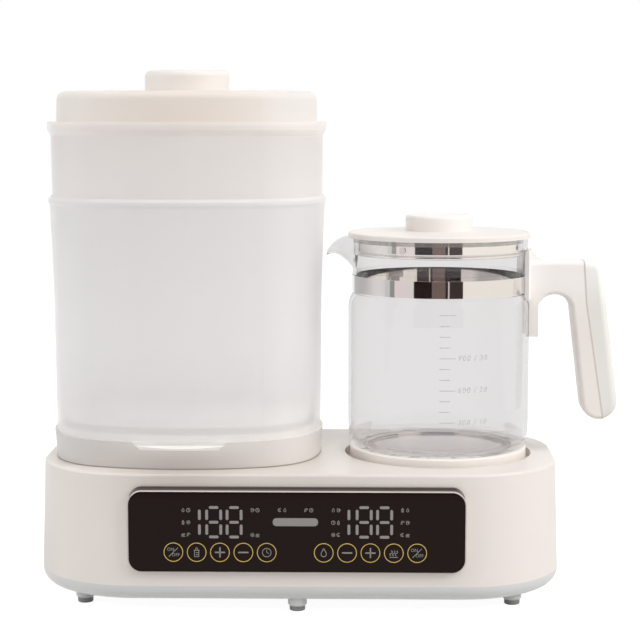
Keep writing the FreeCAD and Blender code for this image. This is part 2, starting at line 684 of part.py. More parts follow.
def base_upper_shell():
    """The cream housing: top, walls, kettle recess, tray locator, hot air chimney, screw posts."""
    hollow = loft(base_outline(BASE_WALL, BASE_SEAM_Z), base_outline(BASE_WALL, BASE_CEILING_Z))
    shell = housing_block().cut(hollow)

    posts = [cylinder(POST_R, FOOT_BOSS_TOP_Z, BASE_CEILING_Z + SMALL, *p) for p in foot_places()]
    seat_cup = cylinder(
        SEAT_RECESS_R + BASE_WALL, RECESS_FLOOR_Z - SEAT_FLOOR, BASE_TOP_Z, KETTLE_X
    )
    locator_top = BASE_TOP_Z + LOCATOR_HEIGHT
    locator = oval_stack((-LOCATOR_INSET, BASE_CEILING_Z), (-LOCATOR_INSET, locator_top))
    inner = -LOCATOR_INSET - LOCATOR_WALL
    locator = locator.cut(oval_stack((inner, BASE_TOP_Z), (inner, locator_top + BEYOND)))
    chimney = air_slot(CHIMNEY_WALL, BASE_CEILING_Z, CHIMNEY_TOP_Z)
    shell = join([shell, *posts, seat_cup, locator, chimney])

    tongue = TONGUE_THICKNESS + SEAM_CLEARANCE
    groove = prism(
        base_outline(BASE_WALL - tongue, BASE_SEAM_Z), TONGUE_HEIGHT + SEAM_CLEARANCE
    ).cut(prism(base_outline(BASE_WALL + tongue, BASE_SEAM_Z), TONGUE_HEIGHT + BEYOND))
    cuts = [
        groove,
        cylinder(SEAT_RECESS_R, RECESS_FLOOR_Z, BASE_TOP_Z + BEYOND, KETTLE_X),
        cylinder(SEAT_OPENING_R, RECESS_FLOOR_Z - SEAT_FLOOR - BEYOND, BASE_TOP_Z, KETTLE_X),
        cylinder(DISH_R + DISH_CLEARANCE, BASE_CEILING_Z - BEYOND, BASE_TOP_Z + BEYOND, STACK_X),
        air_slot(0, BASE_CEILING_Z - BEYOND, CHIMNEY_TOP_Z + BEYOND),
        upright_slab(
            WINDOW_WIDTH,
            WINDOW_HEIGHT,
            WINDOW_CORNER_R,
            -HALF_DEPTH - BEYOND,
            -HALF_DEPTH + 2 * BASE_WALL + BEYOND,
            0,
            PANEL_Z,
        ),
        upright_slab(
            FILTER_WIDTH,
            FILTER_HEIGHT,
            FILTER_CORNER_R,
            HALF_DEPTH - 2 * BASE_WALL - BEYOND,
            HALF_DEPTH + BEYOND,
            FILTER_X,
            FILTER_Z,
        ),
        cord_block(CORD_BUSHING_WIDTH, CORD_BUSHING_CORNER_R, SEAM_CLEARANCE, -3 * BASE_WALL, BEYOND),
    ]
    cuts += [
        cylinder(SCREW_R + SCREW_PILOT, FOOT_BOSS_TOP_Z - BEYOND, screw_tip_z() + BEYOND, *p)
        for p in foot_places()
    ]
    return cut_all(shell, cuts)


def cord_block(width, corner, grow, start, end):
    """A square block through the back wall at the cord outlet, measured from the wall's outside."""
    size = width + 2 * grow
    y0, y1 = HALF_DEPTH + start, HALF_DEPTH + end
    return upright_slab(size, size, corner + grow, y0, y1, CORD_X, CORD_Z)


def base_lower_shell():
    """The pan that closes the base: foot bosses, board standoffs, blower posts and vent slots."""
    depth = BASE_SEAM_Z - BASE_UNDERSIDE_Z
    outer = prism(base_outline(0, BASE_UNDERSIDE_Z), depth)
    outer = round_edges(outer, BASE_BOTTOM_ROUND, level_at(BASE_UNDERSIDE_Z))
    hollow = prism(base_outline(BASE_WALL, BASE_FLOOR_Z), depth)
    hollow = round_edges(hollow, BASE_BOTTOM_ROUND - BASE_WALL, level_at(BASE_FLOOR_Z))
    tongue_z = BASE_SEAM_Z - TONGUE_ROOT
    tongue = prism(base_outline(BASE_WALL - SMALL, tongue_z), TONGUE_HEIGHT + TONGUE_ROOT)
    tongue = tongue.cut(prism(base_outline(BASE_WALL + TONGUE_THICKNESS, tongue_z), depth))
    bosses = []
    for place in foot_places():
        boss = cylinder(FOOT_BOSS_R, FOOT_PAD_HEIGHT, FOOT_BOSS_TOP_Z, *place)
        foot_edge = [edge for edge in boss.Edges if level_at(FOOT_PAD_HEIGHT)(edge)]
        bosses.append(boss.makeChamfer(FOOT_BOSS_CHAMFER, foot_edge))
    root_z = BASE_FLOOR_Z - BEYOND
    supports = [cylinder(STANDOFF_R, root_z, POWER_BOARD_Z, *p) for p in board_corners()]
    supports += [cylinder(BLOWER_POST_R, root_z, BLOWER_Z, *p) for p in blower_posts()]
    pan = join([outer.cut(hollow), tongue, *bosses, *supports])
    holes = []
    for place in foot_places():
        head_top = SCREW_HEAD_Z + SCREW_HEAD_HEIGHT
        holes.append(cylinder(FOOT_PLUG_R + FOOT_PLUG_CLEARANCE, 0, head_top, *place))
        holes.append(cylinder(SCREW_R + SCREW_CLEARANCE, 0, FOOT_BOSS_TOP_Z + BEYOND, *place))
    middle = (VENT_SLOTS - 1) / 2
    for y in VENT_ROW_Y:
        for n in range(VENT_SLOTS):
            x = BLOWER_X + (n - middle) * VENT_SLOT_PITCH
            holes.append(slot(VENT_SLOT_LENGTH, VENT_SLOT_WIDTH, 0, BASE_FLOOR_Z + BEYOND, x, y))
    return cut_all(pan, holes)


def blower_posts():
    spread = BLOWER_POST_SPREAD
    return [(BLOWER_X + sx * spread, BLOWER_Y + sy * spread) for sx in (-1, 1) for sy in (-1, 1)]


def screw_tip_z():
    return FOOT_BOSS_TOP_Z + SCREW_BITE


def base_screws():
    screws = []
    for place in foot_places():
        shank = cylinder(SCREW_R, SCREW_HEAD_Z, screw_tip_z(), *place)
        head = cylinder(SCREW_HEAD_R, SCREW_HEAD_Z, SCREW_HEAD_Z + SCREW_HEAD_HEIGHT, *place)
        screws.append(join([shank, head]))
    return screws


def rubber_feet():
    feet = []
    for place in foot_places():
        pad = cylinder(FOOT_PAD_R, 0, FOOT_PAD_HEIGHT, *place)
        pad = round_edges(pad, FOOT_PAD_ROUND, level_at(0))
        plug = cylinder(FOOT_PLUG_R, BEYOND, FOOT_PAD_HEIGHT + FOOT_PLUG_HEIGHT, *place)
        feet.append(join([pad, plug]))
    return feet


# ================================================================ touch panel
def control_panel():
    """The glossy front: a slab with round corners and a bevel along its top edge."""
    slab = upright_slab(
        PANEL_WIDTH, PANEL_HEIGHT, PANEL_CORNER_R, PANEL_FRONT_Y, PANEL_BACK_Y, 0, PANEL_Z
    )
    top = PANEL_Z + PANEL_HEIGHT / 2
    bevel = Part.makePolygon(
        [
            Vector(-FAR, PANEL_FRONT_Y, top - PANEL_BEVEL_HEIGHT),
            Vector(-FAR, PANEL_FRONT_Y + PANEL_BEVEL_DEPTH, top),
            Vector(-FAR, PANEL_FRONT_Y + PANEL_BEVEL_DEPTH, top + BEYOND),
            Vector(-FAR, PANEL_FRONT_Y - BEYOND, top + BEYOND),
            Vector(-FAR, PANEL_FRONT_Y - BEYOND, top - PANEL_BEVEL_HEIGHT),
            Vector(-FAR, PANEL_FRONT_Y, top - PANEL_BEVEL_HEIGHT),
        ]
    )
    return slab.cut(Part.Face(bevel).extrude(Vector(2 * FAR, 0, 0)))


def panel_bezel():
    """The frame that seats the glossy front on the sloping wall, with a tub for the board."""
    lip_y = PANEL_BACK_Y - BEZEL_LIP
    flange = upright_slab(
        PANEL_WIDTH + 2 * BEZEL_RIM,
        PANEL_HEIGHT + 2 * BEZEL_RIM,
        PANEL_CORNER_R + BEZEL_RIM,
        lip_y,
        -HALF_DEPTH + BEZEL_BACK_REACH,
        0,
        PANEL_Z,
    ).cut(housing_block())
    seat = upright_slab(
        PANEL_WIDTH + 2 * BEZEL_FIT,
        PANEL_HEIGHT + 2 * BEZEL_FIT,
        PANEL_CORNER_R + BEZEL_FIT,
        lip_y - BEYOND,
        PANEL_BACK_Y,
        0,
        PANEL_Z,
    )
    tub_back = BOARD_Y + BOARD_THICKNESS + TUB_BACK_MARGIN
    corner = WINDOW_CORNER_R - PART_GAP
    tub = upright_slab(TUB_WIDTH, TUB_HEIGHT, corner, PANEL_BACK_Y, tub_back, 0, PANEL_Z)
    board_room = upright_slab(
        *board_size(PART_GAP), BOARD_CORNER_R, BOARD_Y, tub_back + BEYOND, 0, PANEL_Z
    )
    light_room = upright_slab(
        *board_size(-TUB_LEDGE), BOARD_CORNER_R, PANEL_BACK_Y - FAR, tub_back, 0, PANEL_Z
    )
    return join([flange, tub]).cut([seat, board_room, light_room])


def board_size(grow):
    """Width and height of the display board, grown on every side."""
    margin = 2 * (TUB_WALL + PART_GAP - grow)
    return TUB_WIDTH - margin, TUB_HEIGHT - margin


def display_board():
    return upright_slab(
        *board_size(0), BOARD_CORNER_R, BOARD_Y, BOARD_Y + BOARD_THICKNESS, 0, PANEL_Z
    )


def display_modules():
    """Two three-digit light modules and the round-ended light bar between them."""
    y0 = PANEL_BACK_Y + PART_GAP
    z = PANEL_Z + DIGIT_ABOVE_MIDDLE
    modules = [
        upright_slab(DIGIT_WIDTH, DIGIT_HEIGHT, BOARD_CORNER_R, y0, BOARD_Y, x, z) for x in DIGIT_X
    ]
    bar_round = BAR_HEIGHT / 2 - SMALL
    modules.append(
        upright_slab(BAR_WIDTH, BAR_HEIGHT, bar_round, y0, BOARD_Y, sum(DIGIT_X) / 2, z)
    )
    return modules


def touch_key_springs():
    """The sprung contacts that press on the back of the front, one behind each touch key."""
    springs = []
    length = DIGIT_DEPTH
    z = PANEL_Z - KEY_BELOW_MIDDLE
    for first in KEY_FIRST_X:
        for n in range(KEYS_PER_SIDE):
            start = Vector(first + n * KEY_PITCH, BOARD_Y - length, z)
            coil = Part.makeCylinder(KEY_SPRING_R, length, start, Vector(0, 1, 0))
            start += Vector(0, KEY_SPRING_FACE, 0)
            inside = Part.makeCylinder(
                KEY_SPRING_R - KEY_SPRING_WIRE, length, start, Vector(0, 1, 0)
            )
            springs.append(coil.cut(inside))
    return springs


# ================================================================ electronics
def board_corners():
    x = POWER_BOARD_LENGTH / 2 - STANDOFF_INSET
    y = POWER_BOARD_DEPTH / 2 - STANDOFF_INSET
    return [(KETTLE_X + sx * x, POWER_BOARD_Y + sy * y) for sx in (-1, 1) for sy in (-1, 1)]


def power_board():
    size = (POWER_BOARD_LENGTH, POWER_BOARD_DEPTH, BOARD_THICKNESS)
    x = KETTLE_X - POWER_BOARD_LENGTH / 2
    return block_on(size, x, POWER_BOARD_Y - POWER_BOARD_DEPTH / 2, POWER_BOARD_Z)


def power_board_parts():
    """Relays, transformer, capacitor and terminal block on the power board."""
    z = POWER_BOARD_Z + BOARD_THICKNESS
    blocks = [(RELAY_SIZE, place) for place in RELAY_PLACES]
    blocks += [(TRANSFORMER_SIZE, TRANSFORMER_PLACE), (TERMINAL_SIZE, TERMINAL_PLACE)]
    parts = [block_on(size, KETTLE_X + x, y, z) for size, (x, y) in blocks]
    x, y = CAPACITOR_PLACE
    parts.append(cylinder(CAPACITOR_R, z, z + CAPACITOR_HEIGHT, KETTLE_X + x, y))
    return parts


# ================================================================ kettle station
def kettle_seat_ring():
    """The raised ring in the recess: the glass stands on it, and its ledge carries the plate."""
    root = SEAT_OPENING_R - SEAT_OPENING_CLEARANCE
    lip = PLATE_R - SEAT_LEDGE_WIDTH
    profile = outline(
        (root, RECESS_FLOOR_Z),
        (SEAT_RING_R, RECESS_FLOOR_Z),
        (SEAT_RING_R, GLASS_FOOT_Z),
        (SEAT_BORE_R, GLASS_FOOT_Z),
        (SEAT_BORE_R, SEAT_LEDGE_Z),
        (lip, SEAT_LEDGE_Z),
        (lip, SEAT_LEDGE_Z - SEAT_LEDGE_THICKNESS),
        (root, SEAT_LEDGE_Z - SEAT_LEDGE_THICKNESS),
    )
    body = lathe(profile, KETTLE_X)

    def outer_top(edge):
        return level_at(GLASS_FOOT_Z)(edge) and edge.BoundBox.XLength > 2 * SEAT_BORE_R + BEYOND

    return round_edges(body, SEAT_RING_ROUND, outer_top)


def kettle_plate_seal():
    lip = PLATE_R - SEAT_LEDGE_WIDTH
    profile = outline(
        (lip, SEAT_LEDGE_Z),
        (SEAT_BORE_R, SEAT_LEDGE_Z),
        (SEAT_BORE_R, PLATE_TOP_Z),
        (PLATE_R, PLATE_TOP_Z),
        (PLATE_R, PLATE_UNDER_Z),
        (lip, PLATE_UNDER_Z),
    )
    return lathe(profile, KETTLE_X)


def kettle_heating_plate():
    """The steel plate under the kettle, with a low rim turned up round its edge."""
    rim_z = PLATE_TOP_Z + PLATE_RIM_RISE
    plate = cylinder(PLATE_R, PLATE_UNDER_Z, rim_z, KETTLE_X).cut(
        cylinder(PLATE_R - PLATE_RIM_WALL, PLATE_TOP_Z, rim_z + BEYOND, KETTLE_X)
    )
    return round_edges(plate, PLATE_ROUND, level_at(rim_z))


def heating_element(x, top_z):
    """A tubular heating element: most of a turn, with two ends turned down."""
    z = top_z - ELEMENT_TUBE_R
    loop = Part.makeTorus(
        ELEMENT_LOOP_R,
        ELEMENT_TUBE_R,
        Vector(x, 0, z),
        Vector(0, 0, 1),
        -180,
        180,
        360 - ELEMENT_GAP_DEG,
    )
    loop.rotate(Vector(x, 0, z), Vector(0, 0, 1), ELEMENT_GAP_DEG / 2)
    ends = []
    for side in (-1, 1):
        a = math.radians(side * ELEMENT_GAP_DEG / 2)
        foot = Vector(x + ELEMENT_LOOP_R * math.cos(a), ELEMENT_LOOP_R * math.sin(a), z)
        ends.append(
            Part.makeCylinder(ELEMENT_TUBE_R, ELEMENT_END_LENGTH, foot, Vector(0, 0, -1))
        )
    return join([loop, *ends])


def thermostat(x, top_z):
    body = cylinder(THERMOSTAT_R, top_z - THERMOSTAT_HEIGHT, top_z, x)
    length, width, thickness = THERMOSTAT_EARS
    ears = block_on(THERMOSTAT_EARS, x - length / 2, -width / 2, top_z - thickness)
    return join([body, ears])


# ================================================================ steriliser station
def evaporating_dish():
    """The shallow steel pan that boils the water, hung by its flange in the housing's top."""
    inner = DISH_R - DISH_WALL
    profile = outline(
        (0, DISH_FLOOR_Z),
        (DISH_R - DISH_CORNER, DISH_FLOOR_Z),
        (DISH_R, DISH_FLOOR_Z + DISH_CORNER),
        (DISH_R, DISH_RIM_Z),
        (DISH_R + DISH_FLANGE, DISH_RIM_Z),
        (DISH_R + DISH_FLANGE, DISH_RIM_Z + DISH_WALL),
        (inner, DISH_RIM_Z + DISH_WALL),
        (inner, DISH_FLOOR_Z + DISH_CORNER + DISH_WALL),
        (inner - DISH_CORNER, DISH_FLOOR_Z + DISH_WALL),
        (0, DISH_FLOOR_Z + DISH_WALL),
    )
    return lathe(profile, STACK_X)


def dish_seal():
    inner = DISH_R + DISH_CLEARANCE
    return ring(DISH_R + DISH_FLANGE, inner, BASE_TOP_Z, DISH_RIM_Z, STACK_X)


# ================================================================ blower and hot air
def blower_housing():
    """A volute: a round drum with an inlet above and a square outlet towards the heater."""
    w = BLOWER_WALL
    half = BLOWER_OUTLET_WIDTH / 2
    x0, x1 = AIR_SLOT_X - half, AIR_SLOT_X + half
    z0, z1 = BLOWER_Z, BLOWER_TOP_Z
    drum = cylinder(BLOWER_R, z0, z1, BLOWER_X, BLOWER_Y)
    drum_room = cylinder(BLOWER_R - w, z0 + w, z1 - w, BLOWER_X, BLOWER_Y)
    outlet = box(x0, x1, 0, BLOWER_Y, z0, z1)
    outlet_room = box(x0 + w, x1 - w, -BEYOND, BLOWER_Y, z0 + w, z1 - w)
    cuts = [
        join([drum_room, outlet_room]),
        cylinder(BLOWER_INLET_R, z1 - w - BEYOND, z1 + BEYOND, BLOWER_X, BLOWER_Y),
        cylinder(MOTOR_NECK_R, z0 - BEYOND, z0 + w + BEYOND, BLOWER_X, BLOWER_Y),
    ]
    return cut_all(join([drum, outlet]), cuts)


def blower_motor():
    """The motor hangs under the drum's floor with its shaft standing up into it."""
    can = cylinder(MOTOR_R, BLOWER_Z - MOTOR_HEIGHT, BLOWER_Z, BLOWER_X, BLOWER_Y)
    tip = impeller_z() + IMPELLER_HEIGHT
    shaft = cylinder(MOTOR_SHAFT_R, BLOWER_Z - BEYOND, tip, BLOWER_X, BLOWER_Y)
    return join([can, shaft])


def impeller_z():
    return BLOWER_Z + BLOWER_WALL + IMPELLER_LIFT


def blower_impeller():
    """A drum of slanted blades on a back plate, round a hub that runs on the motor's shaft."""
    z0 = impeller_z()
    z1 = z0 + IMPELLER_HEIGHT
    pieces = [
        cylinder(IMPELLER_HUB_R, z0, z0 + IMPELLER_HUB_HEIGHT),
        cylinder(IMPELLER_R, z0, z0 + IMPELLER_PLATE),
        ring(IMPELLER_R, IMPELLER_R - IMPELLER_RIM, z1 - IMPELLER_RIM, z1),
    ]
    outer = IMPELLER_R - IMPELLER_BLADE_INSET
    inner = outer - IMPELLER_BLADE_LENGTH
    half = IMPELLER_BLADE_THICKNESS / 2
    for n in range(IMPELLER_BLADES):
        blade = box(inner, outer, -half, half, z0, z1 - IMPELLER_RIM / 2)
        blade.rotate(Vector((inner + outer) / 2, 0, 0), Vector(0, 0, 1), IMPELLER_BLADE_DEG)
        blade.rotate(Vector(0, 0, 0), Vector(0, 0, 1), n * 360 / IMPELLER_BLADES)
        pieces.append(blade)
    bore = cylinder(MOTOR_SHAFT_R + SHAFT_CLEARANCE, z0 - BEYOND, z1 + BEYOND)
    impeller = join(pieces).cut(bore)
    impeller.translate(Vector(BLOWER_X, BLOWER_Y, 0))
    return impeller


def air_duct():
    """Carries the heated air from the blower's outlet up to the slot in the housing's top."""
    w = BLOWER_WALL
    x = AIR_SLOT_X
    half = BLOWER_OUTLET_WIDTH / 2
    riser = RISER_WIDTH / 2
    end = AIR_SLOT_LENGTH / 2 + w
    z0, z1 = BLOWER_Z, BLOWER_TOP_Z
    plenum_z = BASE_TOP_Z - PLENUM_BELOW_TOP
    body = join(
        [
            box(x - half, x + half, -DUCT_LENGTH, 0, z0, z1),
            box(x - riser, x + riser, -end, 0, z1 - w, plenum_z + w),
            box(x - riser, x + riser, -end, end, plenum_z, BASE_CEILING_Z),
        ]
    )
    rooms = [
        box(x - half + w, x + half - w, w - DUCT_LENGTH, BEYOND, z0 + w, z1 - w),
        box(x - riser + w, x + riser - w, w - end, -w, z1 - w - BEYOND, plenum_z + w + BEYOND),
        box(x - riser + w, x + riser - w, w - end, end - w, plenum_z + w, BASE_CEILING_Z + BEYOND),
    ]
    return cut_all(body, rooms)


def air_heater():
    """A finned ceramic heater that stands across the duct's level part."""
    half = BLOWER_OUTLET_WIDTH / 2 - BLOWER_WALL - PART_GAP
    z0 = BLOWER_Z + BLOWER_WALL
    z1 = BLOWER_TOP_Z - BLOWER_WALL - PART_GAP
    y1 = -HEATER_SETBACK
    y0 = y1 - HEATER_LENGTH
    block = box(AIR_SLOT_X - half, AIR_SLOT_X + half, y0, y1, z0, z1)
    fin = HEATER_FIN_WIDTH / 2
    gaps = []
    for n in range(HEATER_FINS):
        z = z0 + HEATER_FIN_PITCH * (n + 1)
        gaps.append(
            box(AIR_SLOT_X - fin, AIR_SLOT_X + fin, y0 - BEYOND, y1 + BEYOND, z, z + HEATER_FIN_GAP)
        )
    return cut_all(block, gaps)


# ================================================================ filter and cord outlet
def filter_cover():
    """The grille that closes the intake in the back wall, flush with the sloping wall."""
    plate = upright_slab(
        FILTER_WIDTH - 2 * FILTER_GAP,
        FILTER_HEIGHT - 2 * FILTER_GAP,
        FILTER_CORNER_R - FILTER_GAP,
        FILTER_BACK_Y,
        HALF_DEPTH + BEYOND,
        FILTER_X,
        FILTER_Z,
    ).common(housing_block())
    middle = (GRILLE_SLOTS - 1) / 2
    height = FILTER_HEIGHT - 2 * GRILLE_SLOT_MARGIN
    slots = [
        upright_slab(
            GRILLE_SLOT_WIDTH,
            height,
            GRILLE_SLOT_WIDTH / 2 - SMALL,
            FILTER_BACK_Y - BEYOND,
            HALF_DEPTH + BEYOND,
            FILTER_X + (n - middle) * GRILLE_SLOT_PITCH,
            FILTER_Z,
        )
        for n in range(GRILLE_SLOTS)
    ]
    return cut_all(plate, slots)


def filter_room(inset):
    """Width and height inside the filter's hole, inset on every side."""
    margin = 2 * (FILTER_GAP + inset)
    return FILTER_WIDTH - margin, FILTER_HEIGHT - margin


def filter_frame():
    """The cartridge frame behind the grille, which comes out with it."""
    width, height = filter_room(FILTER_FRAME_INSET)
    y0, y1 = FILTER_BACK_Y - FILTER_FRAME_DEPTH, FILTER_BACK_Y
    corner = FILTER_CORNER_R - FILTER_FRAME_INSET
    frame = upright_slab(width, height, corner, y0, y1, FILTER_X, FILTER_Z)
    x = width / 2 - FILTER_FRAME_WALL
    z = height / 2 - FILTER_FRAME_WALL
    return frame.cut(
        box(FILTER_X - x, FILTER_X + x, y0 - BEYOND, y1 + BEYOND, FILTER_Z - z, FILTER_Z + z)
    )


def air_filter():
    """Pleated filter paper, as one zigzag sheet wedged in the frame."""
    width, height = filter_room(FILTER_FRAME_INSET + FILTER_FRAME_WALL)
    pitch = (width - FILTER_PAPER) / FILTER_PLEATS
    low = FILTER_BACK_Y - FILTER_FRAME_DEPTH + FILTER_PAPER_MARGIN
    high = FILTER_BACK_Y - FILTER_PAPER_MARGIN - FILTER_PAPER
    left = FILTER_X - (width - FILTER_PAPER) / 2
    foot = FILTER_Z - height / 2
    front = [
        Vector(left + n * pitch, low if n % 2 else high, foot) for n in range(FILTER_PLEATS + 1)
    ]
    back = [point + Vector(0, FILTER_PAPER, 0) for point in reversed(front)]
    sheet = Part.Face(Part.makePolygon(front + back + front[:1]))
    return sheet.extrude(Vector(0, 0, height))


def cord_bushing():
    """The square bush in the back wall that the supply cord leaves through, with an open bore."""
    tail = CORD_FLANGE_THICKNESS - CORD_BUSHING_LENGTH
    flange_end = CORD_FLANGE_THICKNESS
    bush = cord_block(CORD_BUSHING_WIDTH, CORD_BUSHING_CORNER_R, 0, tail, flange_end)
    flange = cord_block(CORD_FLANGE_WIDTH, CORD_FLANGE_CORNER_R, 0, -BASE_WALL, flange_end)
    foot = Vector(CORD_X, HALF_DEPTH + tail - BEYOND, CORD_Z)
    bore = Part.makeCylinder(CORD_BORE_R, CORD_BUSHING_LENGTH + 2 * BEYOND, foot, Vector(0, 1, 0))
    return join([bush, flange.cut(housing_block())]).cut(bore)


# ================================================================ steriliser stack
def steriliser_tray():
    """The opaque foot of the stack: an oval ring with a holed floor and a finger scoop in front."""
    z0, z1 = BASE_TOP_Z, TRAY_TOP_Z
    floor_top = TRAY_FLOOR_Z + TRAY_FLOOR
    inner = -TRAY_WALL
    body = oval_stack((0, z0), (TRAY_FLARE, z1)).cut(
        [
            oval_stack((inner, z0 - BEYOND), (inner, TRAY_FLOOR_Z)),
            oval_stack((inner, floor_top), (inner, z1 + BEYOND)),
        ]
    )
    ledge_grow = TRAY_FLARE - TRAY_LEDGE_WIDTH
    ledge_foot = z1 - TRAY_LEDGE_HEIGHT
    ledge = oval_stack((inner + SMALL, ledge_foot), (inner + SMALL, z1)).cut(
        oval_stack(
            (inner - SMALL, ledge_foot - BEYOND),
            (ledge_grow, z1 - TRAY_LEDGE_THICKNESS),
            (ledge_grow, z1 + BEYOND),
        )
    )
    spigot_in = SPIGOT_GROW - SPIGOT_WALL
    spigot_top = z1 + SPIGOT_HEIGHT
    spigot_foot = z1 - TRAY_LEDGE_THICKNESS
    spigot = oval_stack((SPIGOT_GROW, spigot_foot), (SPIGOT_GROW, spigot_top)).cut(
        oval_stack((spigot_in, spigot_foot - BEYOND), (spigot_in, spigot_top + BEYOND))
    )
    rim = cylinder(
        TRAY_OPENING_R + TRAY_OPENING_RIM, TRAY_FLOOR_Z, floor_top + TRAY_OPENING_RIM, STACK_X
    )
    hood_grow = CHIMNEY_WALL + STACK_GAP + HOOD_WALL
    hood_top = CHIMNEY_TOP_Z + HOOD_ROOM
    hood = air_slot(hood_grow, TRAY_FLOOR_Z, hood_top + HOOD_WALL)
    tray = join([body, ledge, spigot, rim, hood])
    louvre_end = AIR_SLOT_X - hood_grow - AIR_SLOT_WIDTH
    middle = (LOUVRES - 1) / 2
    louvres = []
    for n in range(LOUVRES):
        y = (n - middle) * LOUVRE_PITCH - LOUVRE_WIDTH / 2
        louvres.append(
            box(louvre_end, AIR_SLOT_X, y, y + LOUVRE_WIDTH, hood_top - LOUVRE_HEIGHT, hood_top)
        )
    cuts = [
        cylinder(TRAY_OPENING_R, z0, z1 + BEYOND, STACK_X),
        air_slot(hood_grow - HOOD_WALL, TRAY_FLOOR_Z - BEYOND, hood_top),
        scoop(),
        *louvres,
    ]
    return cut_all(tray, cuts)


def scoop():
    """The slanted finger notch in the tray's front edge, wider at its top than at its foot."""
    top = TRAY_TOP_Z + SMALL
    slope = SCOOP_HEIGHT / (SCOOP_DEPTH + SCOOP_HEIGHT)
    front = -(OVAL_HALF_DEPTH + TRAY_FLARE)
    half = SCOOP_WIDTH / 2

    def section(out):
        foot = TRAY_TOP_Z - SCOOP_HEIGHT - out * slope
        foot_half = half - SCOOP_END_SLOPE * (top - foot) / SCOOP_HEIGHT
        y = front - out
        corners = [
            Vector(STACK_X - half, y, top),
            Vector(STACK_X - foot_half, y, foot),
            Vector(STACK_X + foot_half, y, foot),
            Vector(STACK_X + half, y, top),
        ]
        return Part.makePolygon(corners + corners[:1])

    return loft(section(BEYOND), section(-SCOOP_DEPTH))


def lower_chamber():
    """The tall frosted wall round the bottles, open at both ends, with a stepped mouth."""
    z0, z1 = TRAY_TOP_Z, CHAMBER_TOP_Z
    waist_z = z0 + CHAMBER_WAIST_HEIGHT
    lip_z = z1 - CHAMBER_LIP_HEIGHT
    outer = oval_stack(
        (CHAMBER_FOOT_GROW, z0),
        (CHAMBER_WAIST_GROW, waist_z),
        (CHAMBER_HEAD_GROW, lip_z - CHAMBER_LIP_SLOPE),
        (CHAMBER_LIP_GROW, lip_z),
        (CHAMBER_LIP_GROW, lip_z + CHAMBER_LIP_LAND),
        (CHAMBER_LIP_GROW - CHAMBER_LIP_CHAMFER, z1),
    )
    bore = oval_stack(
        (CHAMBER_FOOT_GROW - CHAMBER_WALL, z0 - BEYOND),
        (CHAMBER_WAIST_GROW - CHAMBER_WALL, waist_z),
        (UPPER_FOOT_GROW - CHAMBER_STEP_WALL, UPPER_FOOT_Z),
    )
    mouth_grow = UPPER_FOOT_GROW + STACK_GAP
    mouth = oval_stack((mouth_grow, UPPER_FOOT_Z), (mouth_grow, z1 + BEYOND))
    return outer.cut([bore, mouth])


def upper_chamber():
    """The shallow accessory chamber: slotted floor for the steam, nested in the tall one's mouth."""
    z0, z1 = UPPER_FOOT_Z, UPPER_TOP_Z
    lip_z = z1 - UPPER_LIP_HEIGHT
    outer = oval_stack(
        (UPPER_FOOT_GROW, z0),
        (UPPER_HEAD_GROW, lip_z - UPPER_LIP_SLOPE),
        (UPPER_LIP_GROW, lip_z),
        (UPPER_LIP_GROW, z1),
    )
    head_in = UPPER_HEAD_GROW - UPPER_WALL
    room = oval_stack((UPPER_FOOT_GROW - UPPER_WALL, z0 + UPPER_FLOOR), (head_in, LID_SEAT_Z))
    mouth_grow = LID_FLANGE_GROW + STACK_GAP
    mouth = oval_stack((mouth_grow, LID_SEAT_Z), (mouth_grow, z1 + BEYOND))
    middle = (UPPER_SLOT_COLUMNS - 1) / 2
    slots = [
        slot(
            UPPER_SLOT_LENGTH,
            UPPER_SLOT_WIDTH,
            z0 - BEYOND,
            z0 + UPPER_FLOOR + BEYOND,
            STACK_X + (n - middle) * UPPER_SLOT_PITCH,
            side * UPPER_SLOT_ROW_Y,
        )
        for n in range(UPPER_SLOT_COLUMNS)
        for side in (-1, 1)
    ]
    return cut_all(outer, [room, mouth, *slots])


def steriliser_lid():
    """A shallow cap: its flange sits in the chamber's mouth, and a plug skirt hangs inside it."""
    z0, z1 = UPPER_TOP_Z, LID_TOP_Z
    ceiling = z1 - LID_WALL
    foot_in, head_in = LID_FOOT_GROW - LID_WALL, LID_HEAD_GROW - LID_WALL
    cap = oval_stack((LID_FOOT_GROW, z0 - SMALL), (LID_HEAD_GROW, z1))
    cap = round_edges(cap, LID_TOP_ROUND, level_at(z1))
    room = oval_stack((foot_in, LID_SEAT_Z), (head_in, ceiling))
    room = round_edges(room, LID_TOP_ROUND - LID_WALL, level_at(ceiling))
    flange_top = LID_SEAT_Z + LID_FLANGE
    flange = oval_stack((LID_FLANGE_GROW, LID_SEAT_Z), (LID_FLANGE_GROW, flange_top))
    skirt = oval_stack((LID_FOOT_GROW, flange_top - SMALL), (LID_FOOT_GROW, z0))
    plug_grow = UPPER_HEAD_GROW - UPPER_WALL - STACK_GAP
    plug_in = min(plug_grow - LID_PLUG_WALL, foot_in)
    plug_foot = LID_SEAT_Z - LID_PLUG_DEPTH
    plug = oval_stack((plug_grow, plug_foot), (plug_grow, LID_SEAT_Z + SMALL))
    plug_room = oval_stack((plug_in, plug_foot - BEYOND), (plug_in, LID_SEAT_Z + BEYOND))
    middle = (LID_VENTS - 1) / 2
    vents = [
        slot(
            LID_VENT_LENGTH,
            LID_VENT_WIDTH,
            ceiling - BEYOND,
            z1 + BEYOND,
            STACK_X + (n - middle) * LID_VENT_PITCH,
            LID_VENT_Y,
        )
        for n in range(LID_VENTS)
    ]
    screw_hole = cylinder(
        KNOB_SCREW_R + SCREW_CLEARANCE, ceiling - BEYOND, z1 + BEYOND, STACK_X
    )
    return cut_all(join([cap, skirt, flange, plug]), [room, plug_room, screw_hole, *vents])


